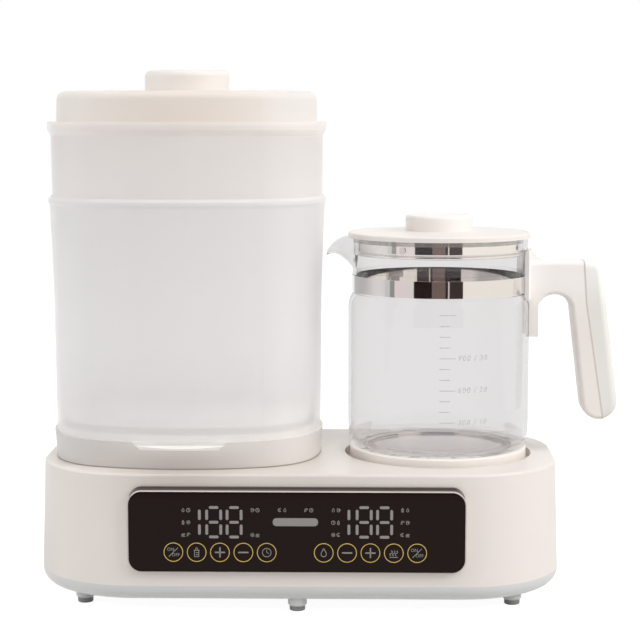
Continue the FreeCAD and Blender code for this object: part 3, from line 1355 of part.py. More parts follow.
def screwed_knob(radius, rounding, wall, z0, z1, x):
    """A hollow round knob with a boss in the middle for its screw."""
    knob = round_edges(cylinder(radius, z0, z1, x), rounding, level_at(z1))
    room = cylinder(radius - wall, z0 - BEYOND, z1 - wall, x)
    boss = cylinder(KNOB_BOSS_R, z0, z1 - wall + SMALL, x)
    pilot = cylinder(KNOB_SCREW_R + SCREW_PILOT, z0 - BEYOND, z1 - wall, x)
    return join([knob.cut(room), boss]).cut(pilot)


def steriliser_lid_knob():
    z1 = LID_TOP_Z + KNOB_HEIGHT
    return screwed_knob(KNOB_R, KNOB_ROUND, KNOB_WALL, LID_TOP_Z, z1, STACK_X)


def knob_screw(x, seat_z, length):
    """A pan-head screw driven upwards, with its head under the seat."""
    foot = seat_z - KNOB_SCREW_HEAD_HEIGHT
    head = cylinder(KNOB_SCREW_HEAD_R, foot, seat_z, x)
    head = round_edges(head, KNOB_SCREW_HEAD_ROUND, level_at(foot))
    return join([head, cylinder(KNOB_SCREW_R, seat_z - BEYOND, seat_z + length, x)])


def rack_cells():
    middle = (RACK_CELL_COLUMNS - 1) / 2
    return [
        (STACK_X + (column - middle) * RACK_CELL_PITCH_X, side * RACK_CELL_PITCH_Y / 2)
        for column in range(RACK_CELL_COLUMNS)
        for side in (-1, 1)
    ]


def bottle_rack():
    """The plate that carries the bottles: rim, legs, and prongs that stand in each bottle's neck."""
    grow = SPIGOT_GROW - SPIGOT_WALL - RACK_CLEARANCE
    room_grow = grow - RACK_RIM_WALL
    top = RACK_Z + RACK_RIM_HEIGHT
    plate = oval_stack((grow, RACK_Z), (grow, top)).cut(
        oval_stack((room_grow, RACK_Z + RACK_PLATE), (room_grow, top + BEYOND))
    )
    foot = TRAY_FLOOR_Z + TRAY_FLOOR
    legs = [
        cylinder(RACK_LEG_R, foot, RACK_Z + SMALL, STACK_X + sx * RACK_LEG_X, sy * RACK_LEG_Y)
        for sx in (-1, 1)
        for sy in (-1, 1)
    ]
    prongs = []
    for x, y in rack_cells():
        for n in range(RACK_PRONGS):
            a = 2 * math.pi * (n + 0.5) / RACK_PRONGS
            reach = Vector(math.cos(a), math.sin(a), 0) * RACK_PRONG_CIRCLE_R
            root = Vector(x, y, RACK_Z + BEYOND) + reach
            prongs.append(Part.makeCone(RACK_PRONG_R, RACK_PRONG_TIP_R, RACK_PRONG_HEIGHT, root))
    holes = [
        cylinder(RACK_HOLE_R, RACK_Z - BEYOND, RACK_Z + RACK_PLATE + BEYOND, x, y)
        for x, y in rack_cells()
    ]
    return cut_all(join([plate, *legs, *prongs]), holes)


# ================================================================ kettle
def vessel(shrink, floor_z, rim_z):
    """The kettle's body of revolution, solid, inside the glass's outer form by shrink."""
    foot, body = GLASS_FOOT_R - shrink, GLASS_BODY_R - shrink
    neck, rim = GLASS_NECK_R - shrink, GLASS_RIM_R - shrink
    r = GLASS_FOOT_ROUND - shrink / 2
    k = r * (1 - math.sqrt(0.5))
    belly_z = GLASS_FOOT_Z + GLASS_BELLY_HEIGHT
    shoulder_z = GLASS_FOOT_Z + GLASS_SHOULDER_HEIGHT
    neck_z = GLASS_FOOT_Z + GLASS_NECK_HEIGHT
    flare_z = GLASS_FOOT_Z + GLASS_FLARE_HEIGHT
    rise = neck_z - shoulder_z
    step = body - neck
    turn = (step**2 + rise**2) / (2 * step)

    def at(radius, z):
        return Vector(radius, 0, z)

    edges = [
        line(at(0, floor_z), at(foot - r, floor_z)),
        arc(at(foot - r, floor_z), at(foot - k, floor_z + k), at(foot, floor_z + r)),
        line(at(foot, floor_z + r), at(body, belly_z)),
        line(at(body, belly_z), at(body, shoulder_z)),
        arc(
            at(body, shoulder_z),
            at(body - turn + math.sqrt(turn**2 - (rise / 2) ** 2), shoulder_z + rise / 2),
            at(neck, neck_z),
        ),
        line(at(neck, neck_z), at(neck, flare_z)),
        line(at(neck, flare_z), at(rim, GLASS_RIM_Z)),
        line(at(0, rim_z), at(0, floor_z)),
    ]
    if rim_z > GLASS_RIM_Z:
        edges.append(line(at(rim, GLASS_RIM_Z), at(rim, rim_z)))
    edges.append(line(at(rim, rim_z), at(0, rim_z)))
    return lathe(edges)


def spout_crest(reach):
    """Height of the pouring edge, which falls in a bow from the rim to the tip."""
    share = (reach - GLASS_RIM_R) / (SPOUT_REACH - GLASS_RIM_R)
    return GLASS_RIM_Z - SPOUT_TIP_DROP * share + 4 * SPOUT_CREST_BOW * share * (1 - share)


def standing_ellipse(reach, half_width, depth, middle_z):
    """A closed ellipse standing square to the X axis at x = reach."""
    centre = Vector(reach, 0, middle_z)
    side = centre + Vector(0, half_width, 0)
    top = centre + Vector(0, 0, depth)
    if half_width >= depth:
        curve = Part.Ellipse(side, top, centre)
    else:
        curve = Part.Ellipse(top, centre - Vector(0, half_width, 0), centre)
    return Part.Wire([curve.toShape()])


def spout_block(shrink, overrun):
    """The beak as a solid: a loft through half-sunk ellipses that shrink towards the tip."""
    wires = []
    root = GLASS_NECK_R - SPOUT_BURIED
    for n in range(SPOUT_SECTIONS):
        reach = root + (SPOUT_REACH + overrun - root) * n / (SPOUT_SECTIONS - 1)
        taper = min(max((SPOUT_REACH - reach) / (SPOUT_REACH - root), 0), 1) ** SPOUT_TAPER
        width = SPOUT_TIP_HALF_WIDTH + (SPOUT_ROOT_HALF_WIDTH - SPOUT_TIP_HALF_WIDTH) * taper
        depth = SPOUT_TIP_DEPTH + (SPOUT_ROOT_DEPTH - SPOUT_TIP_DEPTH) * taper
        crest = GLASS_RIM_Z if reach < GLASS_RIM_R else spout_crest(reach)
        wires.append(standing_ellipse(reach, width - shrink, depth - shrink, crest))
    return Part.makeLoft(wires, True, False)


def above_spout():
    """Everything above the rim and the bowed pouring edge, to trim the beak with."""
    middle = (GLASS_RIM_R + SPOUT_REACH) / 2
    beyond = SPOUT_REACH + 2 * BEYOND

    def at(x, z):
        return Vector(x, -FAR, z)

    edges = [
        line(at(-FAR, GLASS_RIM_Z), at(GLASS_RIM_R, GLASS_RIM_Z)),
        arc(at(GLASS_RIM_R, GLASS_RIM_Z), at(middle, spout_crest(middle)), at(SPOUT_REACH, SPOUT_TIP_Z)),
        line(at(SPOUT_REACH, SPOUT_TIP_Z), at(beyond, SPOUT_TIP_Z)),
        line(at(beyond, SPOUT_TIP_Z), at(beyond, FAR)),
        line(at(beyond, FAR), at(-FAR, FAR)),
        line(at(-FAR, FAR), at(-FAR, GLASS_RIM_Z)),
    ]
    return Part.Face(Part.Wire(edges)).extrude(Vector(0, 2 * FAR, 0))


def kettle_glass():
    """The glass: a lathe-turned vessel with a pulled pouring lip opposite the handle."""
    outer = vessel(0, GLASS_FOOT_Z, GLASS_RIM_Z)
    inner = vessel(GLASS_WALL, GLASS_FOOT_Z + GLASS_FLOOR, GLASS_RIM_Z + BEYOND)
    punt = cylinder(GLASS_PUNT_R, GLASS_FOOT_Z - BEYOND, GLASS_FOOT_Z + GLASS_PUNT_DEPTH)
    beak = spout_block(0, 0).cut(above_spout())
    channel = spout_block(SPOUT_WALL, 2 * BEYOND)
    glass = outer.fuse(beak).cut([inner, channel, punt])
    glass.rotate(Vector(0, 0, 0), Vector(0, 0, 1), 180)
    glass.translate(Vector(KETTLE_X, 0, 0))
    return glass.removeSplitter()


def handle_rod(radius, start, end):
    """A level rod towards the handle at the collar's middle height, from one reach to another."""
    z = COLLAR_FOOT_Z + COLLAR_BAND / 2
    return Part.makeCylinder(radius, end - start, Vector(KETTLE_X + start, 0, z), Vector(1, 0, 0))


def lug_block(gap):
    """The collar's lug, or the room for it with a gap all round."""
    return box(
        KETTLE_X + COLLAR_R - BEYOND,
        KETTLE_X + LUG_REACH + gap,
        -LUG_HALF_WIDTH - gap,
        LUG_HALF_WIDTH + gap,
        COLLAR_FOOT_Z + LUG_MARGIN - gap,
        COLLAR_HEAD_Z - LUG_MARGIN + gap,
    )


def kettle_collar():
    """The steel band round the neck, with a threaded lug that the handle's screw pulls on."""
    band = ring(COLLAR_R, COLLAR_BORE_R, COLLAR_FOOT_Z, COLLAR_HEAD_Z, KETTLE_X)
    bore = cylinder(COLLAR_BORE_R, COLLAR_FOOT_Z - BEYOND, COLLAR_HEAD_Z + BEYOND, KETTLE_X)
    thread_start = LUG_REACH - LUG_SCREW_BITE - LUG_SCREW_ROOM
    thread = handle_rod(SCREW_R + SCREW_PILOT, thread_start, LUG_REACH + BEYOND)
    return join([band, lug_block(0)]).cut([bore, thread])


def handle_slab(stretches, half_width=HANDLE_HALF_WIDTH):
    """A slab across the handle's width, from straight and arc stretches of (reach, height)."""
    edges = []
    for stretch in stretches:
        corners = [Vector(KETTLE_X + x, -half_width, z) for x, z in stretch]
        edges.append(line(*corners) if len(corners) == 2 else arc(*corners))
    return Part.Face(Part.Wire(edges)).extrude(Vector(0, 2 * half_width, 0))


def grip_tangent(x, z, side):
    """Where a line from (x, z) touches the grip's round end, on its inner (-1) or outer (1) side."""
    dx, dz = GRIP_END_X - x, GRIP_END_Z - z
    span = math.hypot(dx, dz)
    heading = math.atan2(dz, dx) + side * math.asin(GRIP_END_R / span)
    reach = math.sqrt(span**2 - GRIP_END_R**2)
    return x + reach * math.cos(heading), z + reach * math.sin(heading)


def grip_end_point(degrees):
    angle = math.radians(degrees)
    return GRIP_END_X + GRIP_END_R * math.cos(angle), GRIP_END_Z + GRIP_END_R * math.sin(angle)


def between_on_end(a, b):
    """The point of the grip's round end halfway between two points on it."""
    angles = [math.degrees(math.atan2(p[1] - GRIP_END_Z, p[0] - GRIP_END_X)) for p in (a, b)]
    low, high = sorted(angle - 360 if angle > 90 else angle for angle in angles)
    return grip_end_point((low + high) / 2)


def kettle_handle():
    """The bracket, the arm and the inner half of the grip, moulded in one."""
    grip_root = (GLASS_BODY_R + GRIP_ROOT_REACH, GLASS_FOOT_Z + ARCH_FOOT_HEIGHT)
    arch_start = (PAD_X, grip_root[1])
    arch_top = ((PAD_X + grip_root[0]) / 2, GLASS_FOOT_Z + ARCH_TOP_HEIGHT)
    pad_foot = (PAD_X, GLASS_FOOT_Z + PAD_FOOT_HEIGHT)
    inside = GLASS_NECK_R - PAD_THICKNESS
    foot = grip_tangent(*grip_root, -1)
    seam = grip_end_point(SEAM_FOOT_DEG)
    body = handle_slab(
        [
            [(inside, HANDLE_TOP_Z), SEAM_TOP],
            [SEAM_TOP, SEAM_BEND],
            [SEAM_BEND, seam],
            [seam, between_on_end(seam, foot), foot],
            [foot, grip_root],
            [grip_root, arch_top, arch_start],
            [arch_start, pad_foot],
            [pad_foot, (inside, pad_foot[1])],
            [(inside, pad_foot[1]), (inside, HANDLE_TOP_Z)],
        ]
    )
    body = round_edges(body, GRIP_INNER_ROUND, handle_long_edge(PAD_X + SMALL))
    foot_z, head_z = GLASS_FOOT_Z + BRACKET_FOOT_HEIGHT, GLASS_FOOT_Z + BRACKET_HEAD_HEIGHT
    bracket = ring(COLLAR_R + BRACKET_THICKNESS, COLLAR_R, foot_z, head_z, KETTLE_X)
    body = join([body, bracket.common(handle_wedge()), handle_gusset(head_z)])
    glass_room = vessel(-HANDLE_GAP, GLASS_FOOT_Z, GLASS_RIM_Z + BEYOND)
    glass_room.translate(Vector(KETTLE_X, 0, 0))
    cuts = [
        glass_room,
        cylinder(COLLAR_R + HANDLE_GAP, foot_z - BEYOND, head_z + BEYOND, KETTLE_X),
        lug_block(2 * HANDLE_GAP),
        handle_rod(SCREW_R + SCREW_CLEARANCE, LUG_REACH, HANDLE_REACH),
        handle_rod(SCREW_HEAD_R + SCREW_CLEARANCE, SCREW_SHELF, HANDLE_REACH),
    ]
    return cut_all(body, cuts)


def handle_gusset(head_z):
    """The hollow-backed web that runs from the bracket's head down onto the arm."""
    top = (COLLAR_R + BRACKET_THICKNESS - SMALL, head_z)
    foot = (GLASS_BODY_R + GUSSET_REACH, HANDLE_TOP_Z - SMALL)
    middle = ((top[0] + foot[0]) / 2 - GUSSET_SAG, (top[1] + foot[1]) / 2 - GUSSET_SAG)
    root = (GLASS_NECK_R, foot[1])
    stretches = [[(root[0], head_z), top], [top, middle, foot], [foot, root], [root, (root[0], head_z)]]
    return handle_slab(stretches, HANDLE_HALF_WIDTH - GRIP_INNER_ROUND)


def handle_wedge():
    """A vertical wedge about the kettle's axis, opening towards the handle."""
    a = math.radians(BRACKET_HALF_DEG)
    tip = Vector(KETTLE_X, 0, 0)
    left = tip + Vector(math.cos(a), math.sin(a), 0) * FAR
    right = tip + Vector(math.cos(a), -math.sin(a), 0) * FAR
    return Part.Face(Part.makePolygon([tip, right, left, tip])).extrude(Vector(0, 0, FAR))


def handle_long_edge(beyond):
    """Picks the long side edges of a grip half, but not those on its flat seam face."""

    def on_seam(point):
        flat = Vector(point.x - KETTLE_X, 0, point.z)
        bend = Vector(SEAM_BEND[0], 0, SEAM_BEND[1])
        foot = grip_end_point(SEAM_FOOT_DEG)
        ends = [Vector(SEAM_TOP[0], 0, SEAM_TOP[1]), Vector(foot[0], 0, foot[1])]
        return any(flat.distanceToLineSegment(bend, end).Length < 5 * SMALL for end in ends)

    def wanted(edge):
        limits = edge.BoundBox
        middle = edge.valueAt((edge.FirstParameter + edge.LastParameter) / 2)
        at_side = abs(abs(middle.y) - HANDLE_HALF_WIDTH) < SMALL and limits.YLength < SMALL
        return at_side and limits.XMax > KETTLE_X + beyond + SMALL and not on_seam(middle)

    return wanted


def kettle_handle_cover():
    """The outer half of the grip, which closes over the screw."""
    r = HANDLE_CORNER_R
    k = r * (1 - math.sqrt(0.5))
    top = (HANDLE_ARM_END, HANDLE_TOP_Z)
    side = (HANDLE_ARM_END + r, HANDLE_TOP_Z - r)
    corner = (side[0] - k, top[1] - k)
    outer = grip_tangent(*side, 1)
    seam = grip_end_point(SEAM_FOOT_DEG)
    body = handle_slab(
        [
            [SEAM_TOP, top],
            [top, corner, side],
            [side, outer],
            [outer, between_on_end(outer, seam), seam],
            [seam, SEAM_BEND],
            [SEAM_BEND, SEAM_TOP],
        ]
    )
    return round_edges(body, GRIP_COVER_ROUND, handle_long_edge(0))


def kettle_handle_screw():
    shank = handle_rod(SCREW_R, LUG_REACH - LUG_SCREW_BITE, SCREW_SHELF + BEYOND)
    head = handle_rod(SCREW_HEAD_R, SCREW_SHELF, SCREW_SHELF + SCREW_HEAD_HEIGHT)
    return join([shank, head])


def kettle_lid():
    """The lid's plastic disc: a thick round edge and a slight crown, with a hollow underneath."""
    z0 = GLASS_RIM_Z
    edge_z = z0 + KETTLE_LID_THICKNESS
    r = KETTLE_LID_ROUND
    k = r * (1 - math.sqrt(0.5))
    crown_r = KETTLE_KNOB_R + PART_GAP
    ceiling = KETTLE_LID_TOP_Z - KETTLE_LID_WALL

    def at(radius, z):
        return Vector(radius, 0, z)

    edges = [
        line(at(0, KETTLE_LID_TOP_Z), at(crown_r, KETTLE_LID_TOP_Z)),
        line(at(crown_r, KETTLE_LID_TOP_Z), at(KETTLE_LID_R - r, edge_z)),
        arc(
            at(KETTLE_LID_R - r, edge_z),
            at(KETTLE_LID_R - k, edge_z - k),
            at(KETTLE_LID_R, edge_z - r),
        ),
        line(at(KETTLE_LID_R, edge_z - r), at(KETTLE_LID_R, z0)),
        line(at(KETTLE_LID_R, z0), at(CUP_R - CUP_WALL, z0)),
        line(at(CUP_R - CUP_WALL, z0), at(CUP_R - CUP_WALL - (ceiling - z0), ceiling)),
        line(at(CUP_R - CUP_WALL - (ceiling - z0), ceiling), at(0, ceiling)),
        line(at(0, ceiling), at(0, KETTLE_LID_TOP_Z)),
    ]
    hole = cylinder(KNOB_SCREW_R + SCREW_CLEARANCE, z0, KETTLE_LID_TOP_Z + BEYOND, KETTLE_X)
    return lathe(edges, KETTLE_X).cut(hole)


def kettle_lid_cup():
    """The steel cup under the disc, which hangs inside the neck."""
    cup = cylinder(CUP_R, CUP_FOOT_Z, GLASS_RIM_Z, KETTLE_X)
    cup = round_edges(cup, CUP_ROUND, level_at(CUP_FOOT_Z))
    room = cylinder(CUP_R - CUP_WALL, CUP_FOOT_Z + CUP_WALL, GLASS_RIM_Z + BEYOND, KETTLE_X)
    return cup.cut(room)


def kettle_lid_seal():
    foot = GLASS_RIM_Z - CUP_SEAL_HEIGHT
    return ring(CUP_R + CUP_SEAL_THICKNESS, CUP_R, foot, GLASS_RIM_Z, KETTLE_X)


def kettle_lid_clips():
    """Small sprung tabs on the cup that hold the lid in the neck."""
    clips = []
    z = CUP_FOOT_Z + CUP_ROUND + CLIP_HEIGHT / 2
    corner = CLIP_WIDTH / 2 - PART_GAP
    for n in range(CLIPS):
        tab = upright_slab(
            CLIP_WIDTH, CLIP_HEIGHT, corner, -CUP_R - CLIP_THICKNESS, BEYOND - CUP_R, 0, z
        ).cut(cylinder(CUP_R, 0, FAR))
        tab.rotate(Vector(0, 0, 0), Vector(0, 0, 1), CLIP_FIRST_DEG + 90 + n * 360 / CLIPS)
        tab.translate(Vector(KETTLE_X, 0, 0))
        clips.append(tab)
    return clips


def kettle_lid_knob():
    z0 = KETTLE_LID_TOP_Z
    z1 = z0 + KETTLE_KNOB_HEIGHT
    return screwed_knob(KETTLE_KNOB_R, KETTLE_KNOB_ROUND, KETTLE_KNOB_WALL, z0, z1, KETTLE_X)


# ================================================================ the assembly
def assembly():
    """Every node's name with its solid or group of solids."""
    return {
        "base_upper_shell": base_upper_shell(),
        "base_lower_shell": base_lower_shell(),
        "base_screws": base_screws(),
        "rubber_feet": rubber_feet(),
        "control_panel": control_panel(),
        "panel_bezel": panel_bezel(),
        "display_board": display_board(),
        "display_modules": display_modules(),
        "touch_key_springs": touch_key_springs(),
        "power_board": power_board(),
        "power_board_parts": power_board_parts(),
        "kettle_seat_ring": kettle_seat_ring(),
        "kettle_plate_seal": kettle_plate_seal(),
        "kettle_heating_plate": kettle_heating_plate(),
        "kettle_heating_element": heating_element(KETTLE_X, PLATE_UNDER_Z),
        "kettle_thermostat": thermostat(KETTLE_X, PLATE_UNDER_Z),
        "evaporating_dish": evaporating_dish(),
        "dish_seal": dish_seal(),
        "dish_heating_element": heating_element(STACK_X, DISH_FLOOR_Z),
        "dish_thermostat": thermostat(STACK_X, DISH_FLOOR_Z),
        "blower_housing": blower_housing(),
        "blower_motor": blower_motor(),
        "blower_impeller": blower_impeller(),
        "air_duct": air_duct(),
        "air_heater": air_heater(),
        "filter_cover": filter_cover(),
        "filter_frame": filter_frame(),
        "air_filter": air_filter(),
        "cord_bushing": cord_bushing(),
        "steriliser_tray": steriliser_tray(),
        "bottle_rack": bottle_rack(),
        "lower_chamber": lower_chamber(),
        "upper_chamber": upper_chamber(),
        "steriliser_lid": steriliser_lid(),
        "steriliser_lid_knob": steriliser_lid_knob(),
        "steriliser_knob_screw": knob_screw(STACK_X, LID_TOP_Z - LID_WALL, KNOB_SCREW_BITE),
        "kettle_glass": kettle_glass(),
        "kettle_collar": kettle_collar(),
        "kettle_handle": kettle_handle(),
        "kettle_handle_cover": kettle_handle_cover(),
        "kettle_handle_screw": kettle_handle_screw(),
        "kettle_lid": kettle_lid(),
        "kettle_lid_cup": kettle_lid_cup(),
        "kettle_lid_seal": kettle_lid_seal(),
        "kettle_lid_clips": kettle_lid_clips(),
        "kettle_lid_knob": kettle_lid_knob(),
        "kettle_knob_screw": knob_screw(
            KETTLE_X, KETTLE_LID_TOP_Z - KETTLE_LID_WALL, KETTLE_SCREW_BITE
        ),
    }


def solids_of(shape):
    pieces = shape if isinstance(shape, list) else [shape]
    return [solid for piece in pieces for solid in piece.Solids]


def main():
    os.makedirs("parts", exist_ok=True)
    for name, shape in assembly().items():
        solids = solids_of(shape)
        whole = solids[0] if len(solids) == 1 else Part.makeCompound(solids)
        whole.translate(FRAME_SHIFT)
        whole.exportStep("parts/" + name + ".step")
        print(name, len(solids), round(whole.Volume), whole.isValid())


if __name__ == "__main__":
    main()
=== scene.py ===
import json
import math

import bmesh
import bpy
from mathutils import Matrix, Vector


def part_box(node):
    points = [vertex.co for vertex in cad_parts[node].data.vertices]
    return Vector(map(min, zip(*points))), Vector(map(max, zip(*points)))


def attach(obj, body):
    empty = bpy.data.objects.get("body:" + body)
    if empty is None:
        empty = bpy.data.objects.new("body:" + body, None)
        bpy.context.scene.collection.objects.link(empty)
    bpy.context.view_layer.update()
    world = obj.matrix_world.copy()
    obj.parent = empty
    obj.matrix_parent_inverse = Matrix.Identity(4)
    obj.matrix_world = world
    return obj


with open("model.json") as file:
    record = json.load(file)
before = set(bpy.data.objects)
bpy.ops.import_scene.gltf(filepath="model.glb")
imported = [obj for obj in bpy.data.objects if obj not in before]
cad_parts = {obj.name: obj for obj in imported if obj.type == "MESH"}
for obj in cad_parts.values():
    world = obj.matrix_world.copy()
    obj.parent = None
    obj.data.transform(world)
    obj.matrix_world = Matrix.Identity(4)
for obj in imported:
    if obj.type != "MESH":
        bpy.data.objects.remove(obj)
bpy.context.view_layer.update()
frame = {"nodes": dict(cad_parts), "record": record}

mm = 0.001
scene = bpy.context.scene

shellLow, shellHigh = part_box("base_upper_shell")
baseX = (shellLow.x + shellHigh.x) / 2
baseY = (shellLow.y + shellHigh.y) / 2
plateLow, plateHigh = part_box("kettle_heating_plate")
kettleX = (plateLow.x + plateHigh.x) / 2
kettleY = (plateLow.y + plateHigh.y) / 2
panelLow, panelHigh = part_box("control_panel")


# Shader helpers: a wired socket takes part in ordinary arithmetic
class Wire:
    def __init__(self, graph, socket):
        self.graph = graph
        self.socket = socket

    def combine(self, operation, first, second):
        return self.graph.node("Math", {"operation": operation}, {0: first, 1: second})

    def __add__(self, other):
        return self.combine("ADD", self, other)

    def __radd__(self, other):
        return self.combine("ADD", other, self)

    def __sub__(self, other):
        return self.combine("SUBTRACT", self, other)

    def __rsub__(self, other):
        return self.combine("SUBTRACT", other, self)

    def __mul__(self, other):
        return self.combine("MULTIPLY", self, other)

    def __rmul__(self, other):
        return self.combine("MULTIPLY", other, self)

    def __gt__(self, other):
        return self.combine("GREATER_THAN", self, other)

    def __lt__(self, other):
        return self.combine("LESS_THAN", self, other)

    def __abs__(self):
        return self.graph.node("Math", {"operation": "ABSOLUTE"}, {0: self})

    def atLeast(self, least):
        return self.combine("MAXIMUM", self, least)

    def atMost(self, most):
        return self.combine("MINIMUM", self, most)


class Graph:
    def __init__(self, owner):
        owner.use_nodes = True
        self.tree = owner.node_tree
        self.tree.nodes.clear()

    # settings go in first, then the sockets, by name or by number
    def node(self, kind, settings=None, sockets=None, out=0):
        made = self.tree.nodes.new("ShaderNode" + kind)
        for key, value in (settings or {}).items():
            if key == "stops":
                ramp = made.color_ramp
                while len(ramp.elements) < len(value):
                    ramp.elements.new(0.5)
                for element, (place, colour) in zip(ramp.elements, value):
                    element.position = place
                    element.color = colour
            else:
                setattr(made, key, value)
        for key, value in (sockets or {}).items():
            if isinstance(value, Wire):
                self.tree.links.new(value.socket, made.inputs[key])
            else:
                made.inputs[key].default_value = value
        return Wire(self, made.outputs[out])

    def mixColour(self, factor, first, second):
        settings = {"data_type": "RGBA"}
        return self.node("Mix", settings, {0: factor, 6: first, 7: second}, 2)

    def mixShader(self, factor, first, second):
        return self.node("MixShader", {}, {0: factor, 1: first, 2: second})

    # X runs across the front, Y to the back and Z up
    def along(self, axis):
        place = self.node("TexCoord", out="Object")
        return self.node("SeparateXYZ", {}, {"Vector": place}, axis)

    # rises softly from 0 to 1 while the value goes from start to end
    def smooth(self, value, start, end):
        sockets = {"Value": value, "From Min": start, "From Max": end}
        return self.node("MapRange", {"interpolation_type": "SMOOTHSTEP"}, sockets)

    # a cloud between two shades of one colour
    def mottle(self, cloud, colour, low, high=1.0):
        return self.mixColour(cloud, linear(colour, low), linear(colour, high))

    def bump(self, height, strength, depth):
        return self.node("Bump", {}, {"Strength": strength, "Distance": depth * mm, "Height": height})

    def clear(self, colour=(0.98, 0.98, 0.98, 1.0)):
        return self.node("BsdfTransparent", {}, {"Color": colour})

    def close(self, shader, kind="Material"):
        output = self.tree.nodes.new("ShaderNodeOutput" + kind)
        self.tree.links.new(shader.socket, output.inputs["Surface"])


def newMaterial(name):
    material = bpy.data.materials.new(name)
    return material, Graph(material)


def linear(colour, gain=1.0):
    values = []
    for part in colour:
        part = part / 255
        part = part / 12.92 if part <= 0.04045 else ((part + 0.055) / 1.055) ** 2.4
        values.append(min(part * gain, 1.0))
    return (*values, 1.0)


def noise(graph, scale, detail=2.0, roughness=0.5, stretch=(1, 1, 1)):
    place = graph.node("TexCoord", out="Object")
    if stretch != (1, 1, 1):
        place = graph.node("Mapping", {}, {"Vector": place, "Scale": stretch})
    sockets = {"Vector": place, "Scale": scale, "Detail": detail, "Roughness": roughness}
    return graph.node("TexNoise", {}, sockets, "Fac")


# Finishes that several moulded looks share
shellFinish = {"rough": 0.36, "mottle": 0.012, "grain": 2600, "depth": 0.010, "coat": 0.12}
handleFinish = {**shellFinish, "coat": 0.10}
lidFinish = {"rough": 0.38, "mottle": 0.012, "grain": 2400, "depth": 0.010, "coat": 0.10}
panelFinish = {"rough": 0.30, "mottle": 0.03, "grain": 3000, "depth": 0.004}
trayFinish = {"rough": 0.42, "mottle": 0.014, "grain": 2200, "depth": 0.012}
edgeFinish = {"rough": 0.4, "mottle": 0.08, "grain": 1500, "depth": 0.01}

# Moulded plastics, rubber, boards and cast parts
# Places and heights are in metres, and the depth of the grain is in millimetres
# zones: a height and the tone above it
# Painted shade: a darker tone laid over part of a surface, given by its middle and reach across the front,
# the heights where it starts and is full, and the tone
# Painted highlight: a lighter tone towards the top, given by the heights where it starts and is full, and the
# tone
mouldedLooks = {
    "cream_housing": {
        **shellFinish, "colour": (235, 227, 221),
        "zones": ((-0.02, (216, 216, 215)), (0.0195, (235, 227, 221))),
        # painted shade: darker on the upper front, across the middle and most under the steriliser, and low
        # at the left end
        "shades": (
            (-0.040, 0.165, 0.050, 0.100, (221, 213, 206)),
            (-0.1025, 0.060, 0.050, 0.100, (207, 198, 191)),
            (-0.2055, 0.022, 0.085, 0.035, (224, 217, 212)),
        ),
    },
    "cream_lid": {
        **lidFinish, "colour": (238, 231, 225),
        # painted shade: darker across the middle of the steriliser's lid and at its right end
        "shades": (
            (-0.1025, 0.095, 0.300, 0.320, (231, 221, 212)),
            (-0.0260, 0.024, 0.300, 0.325, (230, 225, 222)),
        ),
    },
    "cream_handle": {
        **handleFinish, "colour": (244, 236, 230),
        # painted highlight: the handle lightens towards its top
        "fade": (0.185, 0.225, (253, 248, 245)), "seam": (212, 202, 194),
    },
    "handleCover": {
        **handleFinish, "colour": (236, 233, 228), "rough": 0.40, "coat": 0.06,
        # painted highlight: the cover lightens towards its top
        "fade": (0.195, 0.232, (252, 249, 246)), "seam": (212, 204, 197),
    },
    # painted light: a lighter copy of the housing's cream, which lifts the seat ring out of the shade under
    # the glass
    "seatRing": {**shellFinish, "colour": (248, 241, 235)},
    "black_front": {**panelFinish, "colour": (33, 23, 21), "specular": 0.08},
    # painted reflection: the rim band darkens towards its top, and its lighter lower line is a painted
    # highlight
    "panelRim": {
        **panelFinish, "colour": (126, 116, 113), "specular": 0.3,
        "zones": ((0.0857, (104, 94, 92)), (0.0870, (72, 62, 60))),
    },
    "dark_bezel": {"colour": (226, 218, 212), "rough": 0.30, "mottle": 0.03, "grain": 2600, "depth": 0.010},
    "white_tray": {
        **trayFinish, "colour": (229, 224, 220), "scoop": (240, 236, 233),
        # painted shade: darker in the middle of the tray's front, most towards its foot, and on its left side
        "shades": (
            (-0.172, 0.070, 0.0, 0.100, (214, 210, 207)),
            (-0.1025, 0.085, 0.119, 0.100, (198, 191, 187)),
        ),
    },
    "white_rack": {**trayFinish, "colour": (236, 236, 236)},
    "topKnob": {**lidFinish, "colour": (240, 234, 229)},
    "lidKnob": {**lidFinish, "colour": (248, 243, 239)},
    "paleRubber": {"colour": (232, 228, 224), "rough": 0.55, "mottle": 0.03, "grain": 1500, "depth": 0.03},
    "grey_rubber": {"colour": (140, 140, 142), "rough": 0.62, "mottle": 0.08, "grain": 1500, "depth": 0.06},
    "display_module": {"colour": (32, 32, 34), "rough": 0.45, "mottle": 0.08, "grain": 1800, "depth": 0.02},
    "board_component": {"colour": (48, 48, 52), "rough": 0.5, "mottle": 0.10, "grain": 1600, "depth": 0.03},
    # painted shade and reflection at the heating plate's edge, dark and grey
    "plateEdgeDark": {**edgeFinish, "colour": (34, 26, 23)},
    "plateEdgeGrey": {**edgeFinish, "colour": (98, 93, 88)},
    # painted shadow: the dark line where the tray meets the base
    "footLine": {"colour": (160, 150, 143), "rough": 0.6, "mottle": 0.05, "grain": 1500, "depth": 0.01},
    "inner_plastic": {"colour": (62, 62, 66), "rough": 0.5, "mottle": 0.08, "grain": 1500, "depth": 0.03},
}
mouldSkin = {"cloud": 18.0, "bump": 0.35, "cloudRough": 0.08, "grainRough": 0.04, "coatRough": 0.22}

# Painted light on the finger scoop in the tray's front, which faces up: a lighter patch in a shape that
# widens upwards
trayScoop = {"middle": -0.1025, "reach": 0.0270, "low": 0.1100, "slope": 1.05, "front": -0.06}

# The handle's parting line: it leans inwards as it rises, more below one level than above it
handleSeam = {
    "place": 0.1823, "level": 0.2051, "below": 0.155, "above": 0.069, "clear": 0.00096, "full": 0.00024,
}


